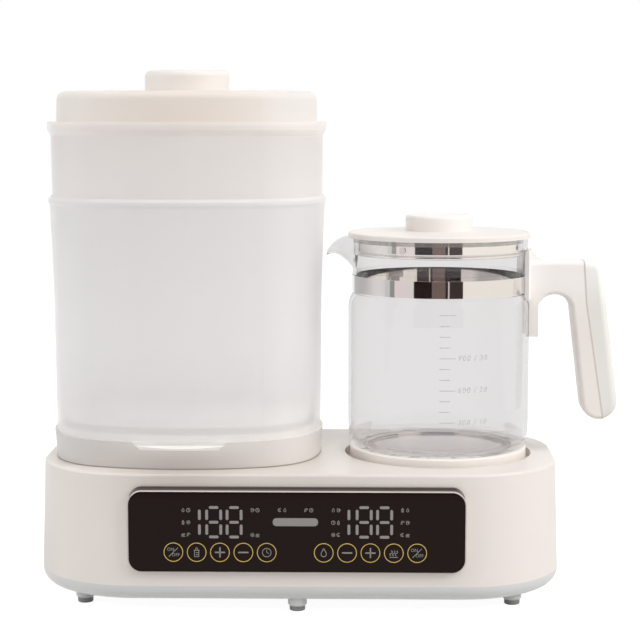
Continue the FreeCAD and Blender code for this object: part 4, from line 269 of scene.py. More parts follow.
def scoopMask(graph):
    look = trayScoop
    lifted = graph.along("Z") - look["low"]
    wide = lifted * look["slope"] + look["reach"] - abs(graph.along("X") - look["middle"])
    return (wide > 0.0) * (lifted > 0.0) * (graph.along("Y") < look["front"])


def seamMask(graph):
    look = handleSeam
    height = graph.along("Z")
    under = (look["level"] - height).atLeast(0.0)
    over = (height - look["level"]).atLeast(0.0)
    line = under * look["below"] - over * look["above"] + look["place"]
    return graph.smooth(abs(graph.along("X") - line), look["clear"], look["full"])


def moulded(name, look):
    material, graph = newMaterial(name)
    skin = mouldSkin
    cloud = noise(graph, skin["cloud"], 3.0)
    grain = noise(graph, look["grain"])
    low, high = 1 - look["mottle"], 1 + look["mottle"]
    colour = graph.mottle(cloud, look["colour"], low, high)
    for level, tone in look.get("zones", ()):
        colour = graph.mixColour(graph.along("Z") > level, colour, graph.mottle(cloud, tone, low, high))
    # painted shade, laid over the colour
    for middle, reach, start, full, tone in look.get("shades", ()):
        near = graph.smooth(abs(graph.along("X") - middle), reach, 0.0)
        near = near * graph.smooth(graph.along("Z"), start, full)
        colour = graph.mixColour(near, colour, linear(tone))
    # painted light on the finger scoop, which faces up
    if "scoop" in look:
        colour = graph.mixColour(scoopMask(graph), colour, linear(look["scoop"]))
    # painted highlight towards the top
    if "fade" in look:
        start, full, tone = look["fade"]
        colour = graph.mixColour(graph.smooth(graph.along("Z"), start, full), colour, linear(tone))
    if "seam" in look:
        colour = graph.mixColour(seamMask(graph), colour, linear(look["seam"]))
    graph.close(graph.node("BsdfPrincipled", {}, {
        "Base Color": colour,
        "Roughness": look["rough"] + (cloud - 0.5) * skin["cloudRough"] + (grain - 0.5) * skin["grainRough"],
        "Specular IOR Level": look.get("specular", 0.5),
        "Coat Weight": look.get("coat", 0.0),
        "Coat Roughness": skin["coatRough"],
        "Normal": graph.bump(grain, skin["bump"], look["depth"]),
    }))
    return material


# Steel, zinc and aluminium
metalLooks = {
    "polished_band": {"colour": (236, 233, 231), "rough": 0.05, "streak": 0.03, "line": 900, "depth": 0.0004},
    "brushed_plate": {
        "colour": (238, 234, 230), "rough": 0.20, "streak": 0.10, "line": 1600, "depth": 0.004,
        "stretch": (0.03, 1, 1),
    },
    # painted light: a lighter copy of the polished steel, so that the cup under the lid renders brighter
    "cupSteel": {"colour": (252, 250, 248), "rough": 0.05, "streak": 0.03, "line": 900, "depth": 0.0004},
    "zinc_screws": {"colour": (180, 180, 182), "rough": 0.34, "streak": 0.12, "line": 2000, "depth": 0.006},
    "heater_tube": {"colour": (160, 160, 163), "rough": 0.48, "streak": 0.14, "line": 1200, "depth": 0.02},
    "contact_spring": {"colour": (196, 190, 178), "rough": 0.28, "streak": 0.1, "line": 2000, "depth": 0.004},
    "motor_can": {"colour": (128, 128, 132), "rough": 0.40, "streak": 0.10, "line": 1400, "depth": 0.02},
}
metalSkin = {"cloud": 40.0, "lineRough": 0.6, "bump": 0.3, "stretch": (1, 1, 0.2)}


def metal(name, look):
    material, graph = newMaterial(name)
    skin = metalSkin
    streak = look["streak"]
    lines = noise(graph, look["line"], 2.0, skin["lineRough"], look.get("stretch", skin["stretch"]))
    cloud = noise(graph, skin["cloud"], 3.0)
    graph.close(graph.node("BsdfPrincipled", {}, {
        "Base Color": graph.mottle(lines, look["colour"], 1 - streak),
        "Metallic": 1.0,
        "Roughness": look["rough"] + (lines - 0.5) * streak + (cloud - 0.5) * streak * 0.5,
        "Normal": graph.bump(lines, skin["bump"], look["depth"]),
    }))
    return material


# Frosted chamber walls: part diffuse, part glowing through, a little see-through, shaded once per wall
# tones and glows are set along the walls' height, from low (0) to high (1)
# What glows through has one tone per chamber, because only some sockets may vary over a surface
frostedLook = {
    "low": 0.1155, "high": 0.3335,
    # tones: darker towards the foot as painted shade, and lighter and warmer on the upper chamber, partly its
    # own tint and partly painted light
    "tones": (
        (0.0, (238, 235, 233)), (0.22, (245, 243, 243)), (0.30, (248, 246, 246)), (0.75, (248, 246, 246)),
        (0.762, (252, 248, 246)), (1.0, (252, 247, 245)),
    ),
    # glows: painted light, an emission that lightens the foot, the upper chamber and its top lip, where shade
    # falls
    "paintedGlows": (
        (0.0, 0.10), (0.05, 0.10), (0.11, 0.03), (0.75, 0.015), (0.762, 0.065), (0.95, 0.065), (0.965, 0.10),
    ),
    "paintedGlowTint": (1.0, 0.96, 0.93),
    "cloud": 26.0, "stretch": (1, 1, 0.04), "dark": 0.06, "rough": 0.30, "cloudRough": 0.06,
    "grain": 1400, "bump": 0.3, "depth": 0.02,
    "through": (0.06, 0.36), "throughFrom": 0.116, "throughTo": 0.150,
    "seeThrough": 0.14, "footThrough": 0.04, "footFrom": 0.140, "footTo": 0.124, "shadowThrough": 0.55,
}


def frosted(name, throughTone):
    look = frostedLook
    material, graph = newMaterial(name)
    cloud = noise(graph, look["cloud"], stretch=look["stretch"])
    bump = graph.bump(noise(graph, look["grain"]), look["bump"], look["depth"])
    height = graph.along("Z")
    rise = graph.node("MapRange", {}, {"Value": height, "From Min": look["low"], "From Max": look["high"]})
    tones = [(place, linear(tone)) for place, tone in look["tones"]]
    tone = graph.node("ValToRGB", {"stops": tones}, {0: rise})
    paintedGlows = [(place, (*(paintedGlow * part for part in look["paintedGlowTint"]), 1.0))
              for place, paintedGlow in look["paintedGlows"]]
    face = graph.node("BsdfPrincipled", {}, {
        "Base Color": graph.mixColour(cloud, graph.mixColour(look["dark"], tone, (0.0, 0.0, 0.0, 1.0)), tone),
        "Roughness": look["rough"] + (cloud - 0.5) * look["cloudRough"],
        # painted light: the glows by height
        "Emission Color": graph.node("ValToRGB", {"stops": paintedGlows}, {0: rise}),
        "Emission Strength": 1.0,
        "Normal": bump,
    })
    glowColour = linear(throughTone, 1 - look["dark"] / 2)
    glow = graph.node("BsdfTranslucent", {}, {"Color": glowColour, "Normal": bump})
    least, most = look["through"]
    through = graph.smooth(height, look["throughFrom"], look["throughTo"]) * (most - least) + least
    foot = graph.smooth(height, look["footFrom"], look["footTo"]) * look["footThrough"]
    shadow = graph.node("LightPath", out="Is Shadow Ray") * look["shadowThrough"]
    clear = graph.clear()
    wall = graph.mixShader(shadow + look["seeThrough"] + foot, graph.mixShader(through, face, glow), clear)
    inner = graph.node("NewGeometry", out="Backfacing")
    graph.close(graph.mixShader(inner, wall, clear))
    return material


# Clear glass: light passes to what stands under and inside it, and the foot is partly plain
glassLook = {
    "tint": (251, 250, 250), "rough": 0.004, "rippleRough": 0.004, "ior": 1.33, "ripple": 14.0, "bump": 0.05,
    "depth": 0.02, "shadowTint": (0.975, 0.98, 0.98, 1.0), "plain": 0.8, "footFrom": 0.113, "footTo": 0.107,
}


def clearGlass(name):
    look = glassLook
    material, graph = newMaterial(name)
    ripple = noise(graph, look["ripple"])
    glass = graph.node("BsdfPrincipled", {}, {
        "Base Color": linear(look["tint"]),
        "Roughness": look["rough"] + ripple * look["rippleRough"],
        "IOR": look["ior"],
        "Transmission Weight": 1.0,
        "Normal": graph.bump(ripple, look["bump"], look["depth"]),
    })
    foot = graph.smooth(graph.along("Z"), look["footFrom"], look["footTo"]) * look["plain"]
    body = graph.mixShader(foot, glass, graph.clear(linear(look["tint"])))
    passing = graph.node("LightPath", out="Is Shadow Ray") + graph.node("LightPath", out="Is Diffuse Ray")
    graph.close(graph.mixShader(passing, body, graph.clear(look["shadowTint"])))
    return material


# Clear silicone: mostly see-through
sealLook = {
    "colour": (232, 230, 226), "dark": 0.95, "cloud": 60.0, "rough": 0.30, "cloudRough": 0.1,
    "seeThrough": 0.74, "cloudThrough": 0.08,
}


def clearSeal(name):
    look = sealLook
    material, graph = newMaterial(name)
    cloud = noise(graph, look["cloud"])
    face = graph.node("BsdfPrincipled", {}, {
        "Base Color": graph.mottle(cloud, look["colour"], look["dark"]),
        "Roughness": look["rough"] + cloud * look["cloudRough"],
    })
    graph.close(graph.mixShader(cloud * look["cloudThrough"] + look["seeThrough"], face, graph.clear()))
    return material


# Green board with copper tracks
boardLook = {
    "green": (26, 96, 58), "light": 1.1, "track": (44, 128, 82), "pitch": 260.0, "line": 0.06, "rough": 0.4,
}


def circuitBoard(name):
    look = boardLook
    material, graph = newMaterial(name)
    place = graph.node("TexCoord", out="Object")
    brick = graph.node("TexBrick", {}, {
        "Vector": graph.node("Mapping", {}, {"Vector": place, "Rotation": (math.pi / 2, 0, 0)}),
        "Scale": look["pitch"],
        "Mortar Size": look["line"],
        "Color1": linear(look["green"]),
        "Color2": linear(look["green"], look["light"]),
        "Mortar": linear(look["track"]),
    })
    graph.close(graph.node("BsdfPrincipled", {}, {"Base Color": brick, "Roughness": look["rough"]}))
    return material


# Pleated paper
paperLook = {
    "colour": (238, 238, 233), "dark": 0.86, "pleat": 160.0, "fibre": 900.0, "share": 0.6, "rough": 0.85,
    "bump": 0.5, "fibreBump": 0.2, "depth": 0.6,
}


def filterPaper(name):
    look = paperLook
    material, graph = newMaterial(name)
    place = graph.node("TexCoord", out="Object")
    wave = graph.node("TexWave", {"bands_direction": "X"}, {"Vector": place, "Scale": look["pleat"]}, "Fac")
    fibre = noise(graph, look["fibre"], 4.0)
    folds = wave * look["share"] + fibre * (1 - look["share"])
    graph.close(graph.node("BsdfPrincipled", {}, {
        "Base Color": graph.mottle(folds, look["colour"], look["dark"]),
        "Roughness": look["rough"],
        "Normal": graph.bump(wave + fibre * look["fibreBump"], look["bump"], look["depth"]),
    }))
    return material


# Printed inks; the glow in the grey and gold print is painted light
inkLooks = {
    "panelGreyInk": {"colour": (140, 137, 134), "rough": 0.5, "glow": 0.12},
    "panelGoldInk": {"colour": (212, 186, 104), "rough": 0.45, "glow": 0.12},
    "scaleInk": {"colour": (198, 197, 199), "rough": 0.5, "glow": 0.0},
}
inkSkin = {"speck": 1800.0, "low": 0.92, "high": 1.06, "speckRough": 0.1, "specular": 0.2}


def ink(name, look):
    material, graph = newMaterial(name)
    skin = inkSkin
    speck = noise(graph, skin["speck"])
    colour = graph.mottle(speck, look["colour"], skin["low"], skin["high"])
    graph.close(graph.node("BsdfPrincipled", {}, {
        "Base Color": colour,
        "Roughness": look["rough"] + (speck - 0.5) * skin["speckRough"],
        "Specular IOR Level": skin["specular"],
        "Emission Color": colour,
        "Emission Strength": look["glow"],
    }))
    return material


materials = {
    "frosted_wall": frosted("frosted_wall", (248, 246, 246)),
    # the upper chamber glows through lighter and warmer: partly its own tint and partly painted light
    "frostedUpper": frosted("frostedUpper", (252, 248, 246)),
    "clear_glass": clearGlass("clear_glass"),
    "clear_seal": clearSeal("clear_seal"),
    "circuit_board": circuitBoard("circuit_board"),
    "filter_paper": filterPaper("filter_paper"),
}
for maker, looks in ((moulded, mouldedLooks), (metal, metalLooks), (ink, inkLooks)):
    for name, look in looks.items():
        materials[name] = maker(name, look)

# Nodes whose look is not the one that their slot names
ownLooks = {
    "kettle_handle_cover": "handleCover",
    "kettle_plate_seal": "paleRubber",
    "kettle_lid_knob": "lidKnob",
    "steriliser_lid_knob": "topKnob",
    "kettle_seat_ring": "seatRing",
    "kettle_lid_cup": "cupSteel",
    "upper_chamber": "frostedUpper",
}

for part in frame["record"]["subparts"]:
    node = frame["nodes"][part["node"]]
    look = ownLooks.get(part["node"], part["material_slot"])
    for index in range(len(node.material_slots)):
        node.material_slots[index].link = "OBJECT"
        node.material_slots[index].material = materials[look]
print("materials", len(materials))


# Pieces: meshes built in place, in metres
def addPiece(name, work, material, body):
    mesh = bpy.data.meshes.new(name)
    work.normal_update()
    work.to_mesh(mesh)
    work.free()
    mesh.materials.append(materials[material])
    piece = bpy.data.objects.new(name, mesh)
    scene.collection.objects.link(piece)
    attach(piece, body)
    return piece


# From millimetres to metres, and to its place
def toMetres(work, place):
    bmesh.ops.scale(work, vec=(mm, mm, mm), verts=work.verts)
    bmesh.ops.translate(work, vec=place, verts=work.verts)


def bevelEdges(work, edges, offset, segments):
    return bmesh.ops.bevel(work, geom=edges, offset=offset, offset_type="OFFSET", affect="EDGES",
                           segments=segments, profile=0.5, material=-1)


# Whether an edge runs from the front to the back of a plate this deep
def runsDeep(edge, deep):
    return abs(edge.verts[0].co.y - edge.verts[1].co.y) > deep / 2


# A rectangle to be spun: between two radii, and between two places along the axis
def addSection(work, inner, outer, low, high, axis):
    corners = [work.verts.new(Vector((radius, 0, 0)) + Vector(axis) * place)
               for radius, place in ((inner, low), (outer, low), (outer, high), (inner, high))]
    edges = [work.edges.new((corner, corners[(n + 1) % 4])) for n, corner in enumerate(corners)]
    return corners, edges


barShape = {"corner": 0.48, "segments": 3}


# A bar with round ends that lies on the panel, from one point to the other
def addBar(work, start, end, width, lift):
    start, end = Vector(start), Vector(end)
    run = end - start
    made = bmesh.ops.create_cube(work, size=1.0)["verts"]
    bmesh.ops.scale(work, vec=(run.length + width, lift, width), verts=made)
    edges = {edge for vert in made for edge in vert.link_edges if runsDeep(edge, lift)}
    rounded = bevelEdges(work, list(edges), width * barShape["corner"], barShape["segments"])
    verts = {vert for face in rounded["faces"] for vert in face.verts}
    verts |= {vert for vert in made if vert.is_valid}
    turn = Matrix.Rotation(-math.atan2(run.y, run.x), 3, "Y")
    bmesh.ops.rotate(work, verts=list(verts), cent=(0, 0, 0), matrix=turn)
    middle = (start + end) / 2
    bmesh.ops.translate(work, verts=list(verts), vec=(middle.x, 0, middle.y))


ringSteps = {"arc": 12, "least": 10, "perRadius": 3}


# A ring, or an arc with closed ends, that lies on the panel
def addRing(work, centre, radius, width, lift, start=0.0, sweep=360.0):
    before = set(work.verts)
    corners, edges = addSection(work, radius - width / 2, radius + width / 2, -lift / 2, lift / 2, (0, 1, 0))
    whole = sweep >= 360
    turn = Matrix.Rotation(-math.radians(start), 3, "Y")
    bmesh.ops.rotate(work, verts=corners, cent=(0, 0, 0), matrix=turn)
    steps = int(radius * ringSteps["perRadius"] + ringSteps["least"]) if whole else ringSteps["arc"]
    spun = bmesh.ops.spin(work, geom=corners + edges, cent=(0, 0, 0), axis=(0, 1, 0),
                          angle=-math.radians(sweep), steps=steps, use_merge=whole)
    if not whole:
        last = [item for item in spun["geom_last"] if isinstance(item, bmesh.types.BMVert)]
        work.faces.new(corners)
        work.faces.new(list(reversed(last)))
    verts = [vert for vert in work.verts if vert not in before]
    bmesh.ops.translate(work, verts=verts, vec=(centre[0], 0, centre[1]))


# out: how far a print's middle stands in front of the panel, as a share of its lift
panelPrint = {"merge": 0.0001, "out": 0.4}


def ontoPanel(work, lift):
    bmesh.ops.remove_doubles(work, verts=work.verts, dist=panelPrint["merge"])
    bmesh.ops.recalc_face_normals(work, faces=work.faces)
    toMetres(work, (baseX, panelLow.y - lift * mm * panelPrint["out"], 0))


# The panel's back edge stands a little above its front and shows as a band
panelRimLook = {
    "above": 3.1, "tall": 30.0, "setBack": 2.7, "deep": 4.2, "corner": 8.8, "cornerSteps": 10, "chamfer": 0.7,
    "chamferSteps": 2,
}


def panelRim():
    look = panelRimLook
    work = bmesh.new()
    made = bmesh.ops.create_cube(work, size=1.0)["verts"]
    bmesh.ops.scale(work, vec=((panelHigh.x - panelLow.x) / mm, look["deep"], look["tall"]), verts=made)
    corners = [edge for edge in work.edges
               if runsDeep(edge, look["deep"]) and all(vert.co.z > 0 for vert in edge.verts)]
    bevelEdges(work, corners, look["corner"], look["cornerSteps"])
    front = [edge for edge in work.edges
             if all(vert.co.y < 0 for vert in edge.verts) and any(vert.co.z > 0 for vert in edge.verts)]
    bevelEdges(work, front, look["chamfer"], look["chamferSteps"])
    bmesh.ops.recalc_face_normals(work, faces=work.faces)
    back = panelLow.y + (look["setBack"] + look["deep"] / 2) * mm
    up = panelHigh.z + (look["above"] - look["tall"] / 2) * mm
    toMetres(work, ((panelLow.x + panelHigh.x) / 2, back, up))
    return addPiece("panel_rim", work, "panelRim", "base")


# Two read-outs of three figures: a one and two eights
digitLook = {
    "groups": (
        {"one": -65.7, "eights": (-56.0, -42.2), "top": 75.8},
        {"one": 35.4, "eights": (45.7, 59.5), "top": 76.1},
    ),
    "height": 22.2, "width": 11.4, "stroke": 1.9, "gap": 1.5, "lift": 0.2,
}


def panelDigits():
    look = digitLook
    work = bmesh.new()
    stroke, lift = look["stroke"], look["lift"]
    half = (look["width"] - stroke) / 2
    inset = stroke / 2 + look["gap"]
    for group in look["groups"]:
        top = group["top"] - stroke / 2
        bottom = top - look["height"] + stroke
        middle = (top + bottom) / 2
        for x in (group["one"], *(eight + side for eight in group["eights"] for side in (-half, half))):
            for low, high in ((bottom, middle), (middle, top)):
                addBar(work, (x, low + inset), (x, high - inset), stroke, lift)
        for x in group["eights"]:
            for z in (bottom, middle, top):
                addBar(work, (x - half + inset, z), (x + half - inset, z), stroke, lift)
    ontoPanel(work, lift)
    return addPiece("panel_digits", work, "panelGreyInk", "base")


# Signs, about one unit in reach: bars by two ends, rings by middle and radius, arcs also by start and sweep
signShapes = {
    "plus": {"bars": ((-1, 0, 1, 0), (0, -1, 0, 1))},
    "minus": {"bars": ((-1, 0, 1, 0),)},
    "switch": {"bars": ((-0.95, -0.95, 0.95, 0.95),)},
    "bottle": {
        "bars": (
            (-0.45, -1.05, 0.45, -1.05), (-0.5, -1.0, -0.5, 0.35), (0.5, -1.0, 0.5, 0.35),
            (-0.6, 0.45, 0.6, 0.45), (-0.25, 0.6, -0.1, 1.05), (0.25, 0.6, 0.1, 1.05),
            (-0.15, -0.6, 0.45, -0.6), (-0.15, -0.1, 0.45, -0.1),
        ),
    },
    "clock": {"bars": ((0, 0, 0, 0.62), (0, 0, 0.45, -0.2)), "rings": ((0, 0, 1.0),)},
    "drop": {"bars": ((-0.52, 0.05, 0, 1.05), (0.52, 0.05, 0, 1.05)), "arcs": ((0, -0.3, 0.62, 145, 250),)},
    "steam": {
        "bars": ((-0.9, -1.0, 0.9, -1.0),),
        "arcs": (
            (-0.62, -0.35, 0.28, 90, 180), (-0.62, 0.25, 0.28, 270, 180), (0.0, -0.35, 0.28, 90, 180),
            (0.0, 0.25, 0.28, 270, 180), (0.62, -0.35, 0.28, 90, 180), (0.62, 0.25, 0.28, 270, 180),
        ),
    },
    "leaf": {"bars": ((-0.9, -0.9, 0.7, 0.7),), "arcs": ((0.1, 0.1, 0.8, 0, 180), (0.1, 0.1, 0.8, 180, 90))},
    "sun": {
        "rings": ((0, 0, 0.45),),
        "bars": (
            (0, 0.8, 0, 1.1), (0, -0.8, 0, -1.1), (0.8, 0, 1.1, 0), (-0.8, 0, -1.1, 0),
            (0.57, 0.57, 0.78, 0.78), (-0.57, 0.57, -0.78, 0.78), (0.57, -0.57, 0.78, -0.78),
            (-0.57, -0.57, -0.78, -0.78),
        ),
    },
    "moon": {"arcs": ((0, 0, 0.9, 45, 270), (0.35, 0.35, 0.7, 80, 200))},
    "jug": {
        "bars": (
            (-0.7, 0.8, -0.6, -0.9), (-0.6, -0.9, 0.5, -0.9), (0.5, -0.9, 0.6, 0.8), (-0.9, 0.8, 0.6, 0.8),
            (-0.4, 0.1, 0.35, 0.1),
        ),
        "arcs": ((0.6, 0.1, 0.42, 270, 180),),
    },
}


def addSign(work, shape, centre, reach, width, lift):
    signs = signShapes[shape]
    x, z = centre
    for x0, z0, x1, z1 in signs.get("bars", ()):
        addBar(work, (x + x0 * reach, z + z0 * reach), (x + x1 * reach, z + z1 * reach), width, lift)
    for rx, rz, radius in signs.get("rings", ()):
        addRing(work, (x + rx * reach, z + rz * reach), radius * reach, width, lift)
    for rx, rz, radius, start, sweep in signs.get("arcs", ()):
        addRing(work, (x + rx * reach, z + rz * reach), radius * reach, width, lift, start, sweep)


# Ten touch keys in a row, with their signs: plus and minus are bold, and a pictogram is a little smaller
keyLook = {
    "places": (-83.5, -67.7, -51.9, -36.0, -20.2, 18.4, 34.2, 50.0, 65.8, 81.6), "height": 43.9,
    "signs": ("switch", "bottle", "plus", "minus", "clock", "drop", "minus", "plus", "steam", "switch"),
    "radius": 6.4, "line": 0.44, "boldLine": 0.9375, "fineLine": 0.465, "reach": 3.1, "pictogram": 0.95,
    "lift": 0.16,
}


def panelKeys():
    look = keyLook
    rings = bmesh.new()
    signs = bmesh.new()
    for x, sign in zip(look["places"], look["signs"]):
        centre = (x, look["height"])
        addRing(rings, centre, look["radius"], look["line"], look["lift"])
        line = look["boldLine"] if sign in ("plus", "minus") else look["fineLine"]
        reach = look["reach"] * (1.0 if sign in ("plus", "minus", "switch") else look["pictogram"])
        addSign(signs, sign, centre, reach, line, look["lift"])
    ontoPanel(rings, look["lift"])
    ontoPanel(signs, look["lift"])
    addPiece("panel_key_rings", rings, "panelGoldInk", "base")
    addPiece("panel_key_signs", signs, "panelGreyInk", "base")


# Words as meshes: each is set, turned upright and laid on its surface
def addWords(work, words, size, centre, lift, slant=0.0, align="CENTER", spacing=1.0):
    curve = bpy.data.curves.new("words", "FONT")
    curve.body = words
    curve.size = size
    curve.extrude = lift / 2
    curve.shear = slant
    curve.space_character = spacing
    curve.resolution_u = 3
    curve.align_x = align
    curve.align_y = "CENTER"
    holder = bpy.data.objects.new("words", curve)
    scene.collection.objects.link(holder)
    bpy.context.view_layer.update()
    mesh = bpy.data.meshes.new_from_object(holder.evaluated_get(bpy.context.evaluated_depsgraph_get()))
    mesh.transform(Matrix.Translation((centre[0], 0, centre[1])) @ Matrix.Rotation(math.pi / 2, 4, "X"))
    work.from_mesh(mesh)
    bpy.data.objects.remove(holder)
    bpy.data.curves.remove(curve)
    bpy.data.meshes.remove(mesh)


# The words in the first and the last key, on both sides of the slanted bar
switchWords = {"size": 3.1, "words": (("ON", -1.9, 1.9), ("OFF", 1.615, -1.9)), "lift": 0.16}


def panelSwitchWords():
    look = switchWords
    work = bmesh.new()
    for place in (keyLook["places"][0], keyLook["places"][-1]):
        for words, x, z in look["words"]:
            addWords(work, words, look["size"], (place + x, keyLook["height"] + z), look["lift"])
    ontoPanel(work, look["lift"])
    return addPiece("panel_switch_words", work, "panelGreyInk", "base")


# Pairs of small pictograms beside the read-outs, and the level bar between them
labelLook = {
    "places": (
        (-75.0, 72.9, "drop", "clock"), (-75.0, 64.5, "bottle", "sun"), (-75.0, 56.1, "steam", "leaf"),
        (-28.1, 73.1, "jug", "clock"), (-28.1, 56.0, "sun", "steam"), (-9.6, 73.2, "moon", "drop"),
        (8.2, 73.2, "leaf", "clock"), (26.6, 73.3, "drop", "jug"), (26.6, 64.7, "clock", "bottle"),
        (26.6, 56.3, "sun", "moon"), (73.3, 73.5, "bottle", "drop"), (73.3, 64.9, "leaf", "jug"),
        (73.3, 56.4, "moon", "steam"),
    ),
    "reach": 1.25, "spacing": 1.75, "line": 0.36, "lift": 0.14,
}
levelBar = {
    "left": -16.1, "right": 14.6, "low": 62.2, "high": 67.7, "corner": 2.6, "cornerSteps": 5, "lift": 0.16,
}


def panelLabels():
    look = labelLook
    work = bmesh.new()
    for x, z, first, second in look["places"]:
        for sign, aside in ((first, -look["spacing"]), (second, look["spacing"])):
            addSign(work, sign, (x + aside, z), look["reach"], look["line"], look["lift"])
    ontoPanel(work, look["lift"])
    return addPiece("panel_pictograms", work, "panelGreyInk", "base")


def panelLevelBar():
    look = levelBar
    work = bmesh.new()
    left, right, low, high, lift = (look[key] for key in ("left", "right", "low", "high", "lift"))
    made = bmesh.ops.create_cube(work, size=1.0)["verts"]
    bmesh.ops.scale(work, vec=(right - left, lift, high - low), verts=made)
    edges = [edge for edge in work.edges if runsDeep(edge, lift)]
    bevelEdges(work, edges, look["corner"], look["cornerSteps"])
    bmesh.ops.translate(work, verts=work.verts, vec=((left + right) / 2, 0, (low + high) / 2))
    ontoPanel(work, lift)
    return addPiece("panel_level_bar", work, "panelGreyInk", "base")


panelRim()
panelDigits()
panelKeys()
panelSwitchWords()
panelLabels()
panelLevelBar()
print("panel printed")

# Measuring scale on the kettle's front wall
scaleLook = {
    "top": 202.0, "pitch": 7.44, "marks": 11, "longMarks": (0, 4, 7, 10), "left": 97.1,
    "long": 11.3, "short": 7.3, "line": 0.5, "bend": 6, "radius": 64.8, "lift": 0.12,
    "figures": ((4, "900 / 30"), (7, "600 / 20"), (10, "300 / 10")),
    "size": 5.3, "margin": 1.2, "slant": 0.2, "spacing": 1.22,
}


def wrapOnGlass(work):
    radius = scaleLook["radius"]
    middle = (kettleX - baseX) / mm
    for vert in work.verts:
        outward = radius - vert.co.y
        angle = (vert.co.x - middle) / radius
        vert.co.x = middle + outward * math.sin(angle)
        vert.co.y = -outward * math.cos(angle)
    toMetres(work, (baseX, kettleY, 0))


def kettleScale():
    look = scaleLook
    work = bmesh.new()
    for n in range(look["marks"]):
        length = look["long"] if n in look["longMarks"] else look["short"]
        made = bmesh.ops.create_grid(work, x_segments=look["bend"], y_segments=1, size=0.5)["verts"]
        bmesh.ops.rotate(work, verts=made, cent=(0, 0, 0), matrix=Matrix.Rotation(math.pi / 2, 3, "X"))
        bmesh.ops.scale(work, verts=made, vec=(length, 1, look["line"]))
        z = look["top"] - n * look["pitch"]
        bmesh.ops.translate(work, verts=made, vec=(look["left"] + length / 2, 0, z))
    bmesh.ops.recalc_face_normals(work, faces=work.faces)
    grown = bmesh.ops.extrude_face_region(work, geom=list(work.faces))
    top = [item for item in grown["geom"] if isinstance(item, bmesh.types.BMVert)]
    bmesh.ops.translate(work, verts=top, vec=(0, -look["lift"], 0))
    bmesh.ops.recalc_face_normals(work, faces=work.faces)
    wrapOnGlass(work)
    addPiece("kettle_scale_marks", work, "scaleInk", "kettle")
    work = bmesh.new()
    for n, figure in look["figures"]:
        place = (look["left"] + look["long"] + look["margin"], look["top"] - n * look["pitch"])
        addWords(work, figure, look["size"], place, look["lift"], look["slant"], "LEFT", look["spacing"])
    wrapOnGlass(work)
    addPiece("kettle_scale_figures", work, "scaleInk", "kettle")


kettleScale()
print("kettle scale printed")

# Painted shade and reflection at the heating plate's edge: short dark and grey stretches behind the glass
# foot, each between two angles
plateShadeLook = {
    "radius": 49.9, "width": 0.7, "drop": 1.5, "low": 0.6, "high": 1.4, "steps": 20,
    "stretches": (
        ("painted_plate_shade_dark", "plateEdgeDark", ((73.5, 102.5),)),
        ("painted_plate_shade_grey", "plateEdgeGrey", ((124, 168), (-14, 44))),
    ),
}


def plateEdges():
    look = plateShadeLook
    level = plateHigh.z / mm - look["drop"]
    inner, outer = look["radius"], look["radius"] + look["width"]
    for name, material, angles in look["stretches"]:
        work = bmesh.new()
        for start, end in angles:
            corners = addSection(work, inner, outer, level + look["low"], level + look["high"], (0, 0, 1))[0]
            turn = Matrix.Rotation(math.radians(start), 3, "Z")
            bmesh.ops.rotate(work, verts=corners, cent=(0, 0, 0), matrix=turn)
            bmesh.ops.spin(work, geom=[work.faces.new(corners)], cent=(0, 0, 0), axis=(0, 0, 1),
                           angle=math.radians(end - start), steps=look["steps"], use_merge=False)
        bmesh.ops.recalc_face_normals(work, faces=work.faces)
        toMetres(work, (kettleX, kettleY, 0))
        addPiece(name, work, material, "base")


# The lower edge of the steel cup under the kettle's lid
skirtLook = {"radius": 59.9, "wall": 0.6, "low": 239.6, "high": 241.6, "steps": 96, "merge": 0.0001}


def cupSkirt():
    look = skirtLook
    work = bmesh.new()
    inner = look["radius"] - look["wall"]
    corners, edges = addSection(work, inner, look["radius"], look["low"], look["high"], (0, 0, 1))
    bmesh.ops.spin(work, geom=corners + edges, cent=(0, 0, 0), axis=(0, 0, 1), angle=math.tau,
                   steps=look["steps"], use_merge=True)
    bmesh.ops.remove_doubles(work, verts=work.verts, dist=look["merge"])
    bmesh.ops.recalc_face_normals(work, faces=work.faces)
    cupLow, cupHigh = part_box("kettle_lid_cup")
    toMetres(work, ((cupLow.x + cupHigh.x) / 2, (cupLow.y + cupHigh.y) / 2, 0))
    piece = addPiece("lid_cup_skirt", work, "cupSteel", "kettle_lid")
    for face in piece.data.polygons:
        face.use_smooth = abs(face.normal.z) < 0.5  # the wall, not the flat edges


# Painted shadow: a dark line where the tray meets the base, for the contact shadow; a thin slice of the
# tray's outside, a little grown
contactShadowLineLook = {"low": 0.15, "high": 0.75, "grow": 1.0028, "merge": 0.000001}


def trayFootLine():
    look = contactShadowLineLook
    work = bmesh.new()
    work.from_mesh(frame["nodes"]["steriliser_tray"].data)
    bmesh.ops.remove_doubles(work, verts=work.verts, dist=look["merge"])
    trayLow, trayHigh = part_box("steriliser_tray")
    for rise, above in ((look["high"], True), (look["low"], False)):
        everything = work.verts[:] + work.edges[:] + work.faces[:]
        level = (0, 0, trayLow.z + rise * mm)
        bmesh.ops.bisect_plane(work, geom=everything, plane_co=level, plane_no=(0, 0, 1),
                               clear_outer=above, clear_inner=not above)
    middle = Vector(((trayLow.x + trayHigh.x) / 2, (trayLow.y + trayHigh.y) / 2, 0))
    inward = [face for face in work.faces if face.normal.dot(face.calc_center_median() - middle) < 0]
    bmesh.ops.delete(work, geom=inward, context="FACES")
    bmesh.ops.translate(work, vec=-middle, verts=work.verts)
    bmesh.ops.scale(work, vec=(look["grow"], look["grow"], 1), verts=work.verts)
    bmesh.ops.translate(work, vec=middle, verts=work.verts)
    addPiece("tray_contact_shadow", work, "footLine", "tray")


plateEdges()
cupSkirt()
trayFootLine()
print("edges added")

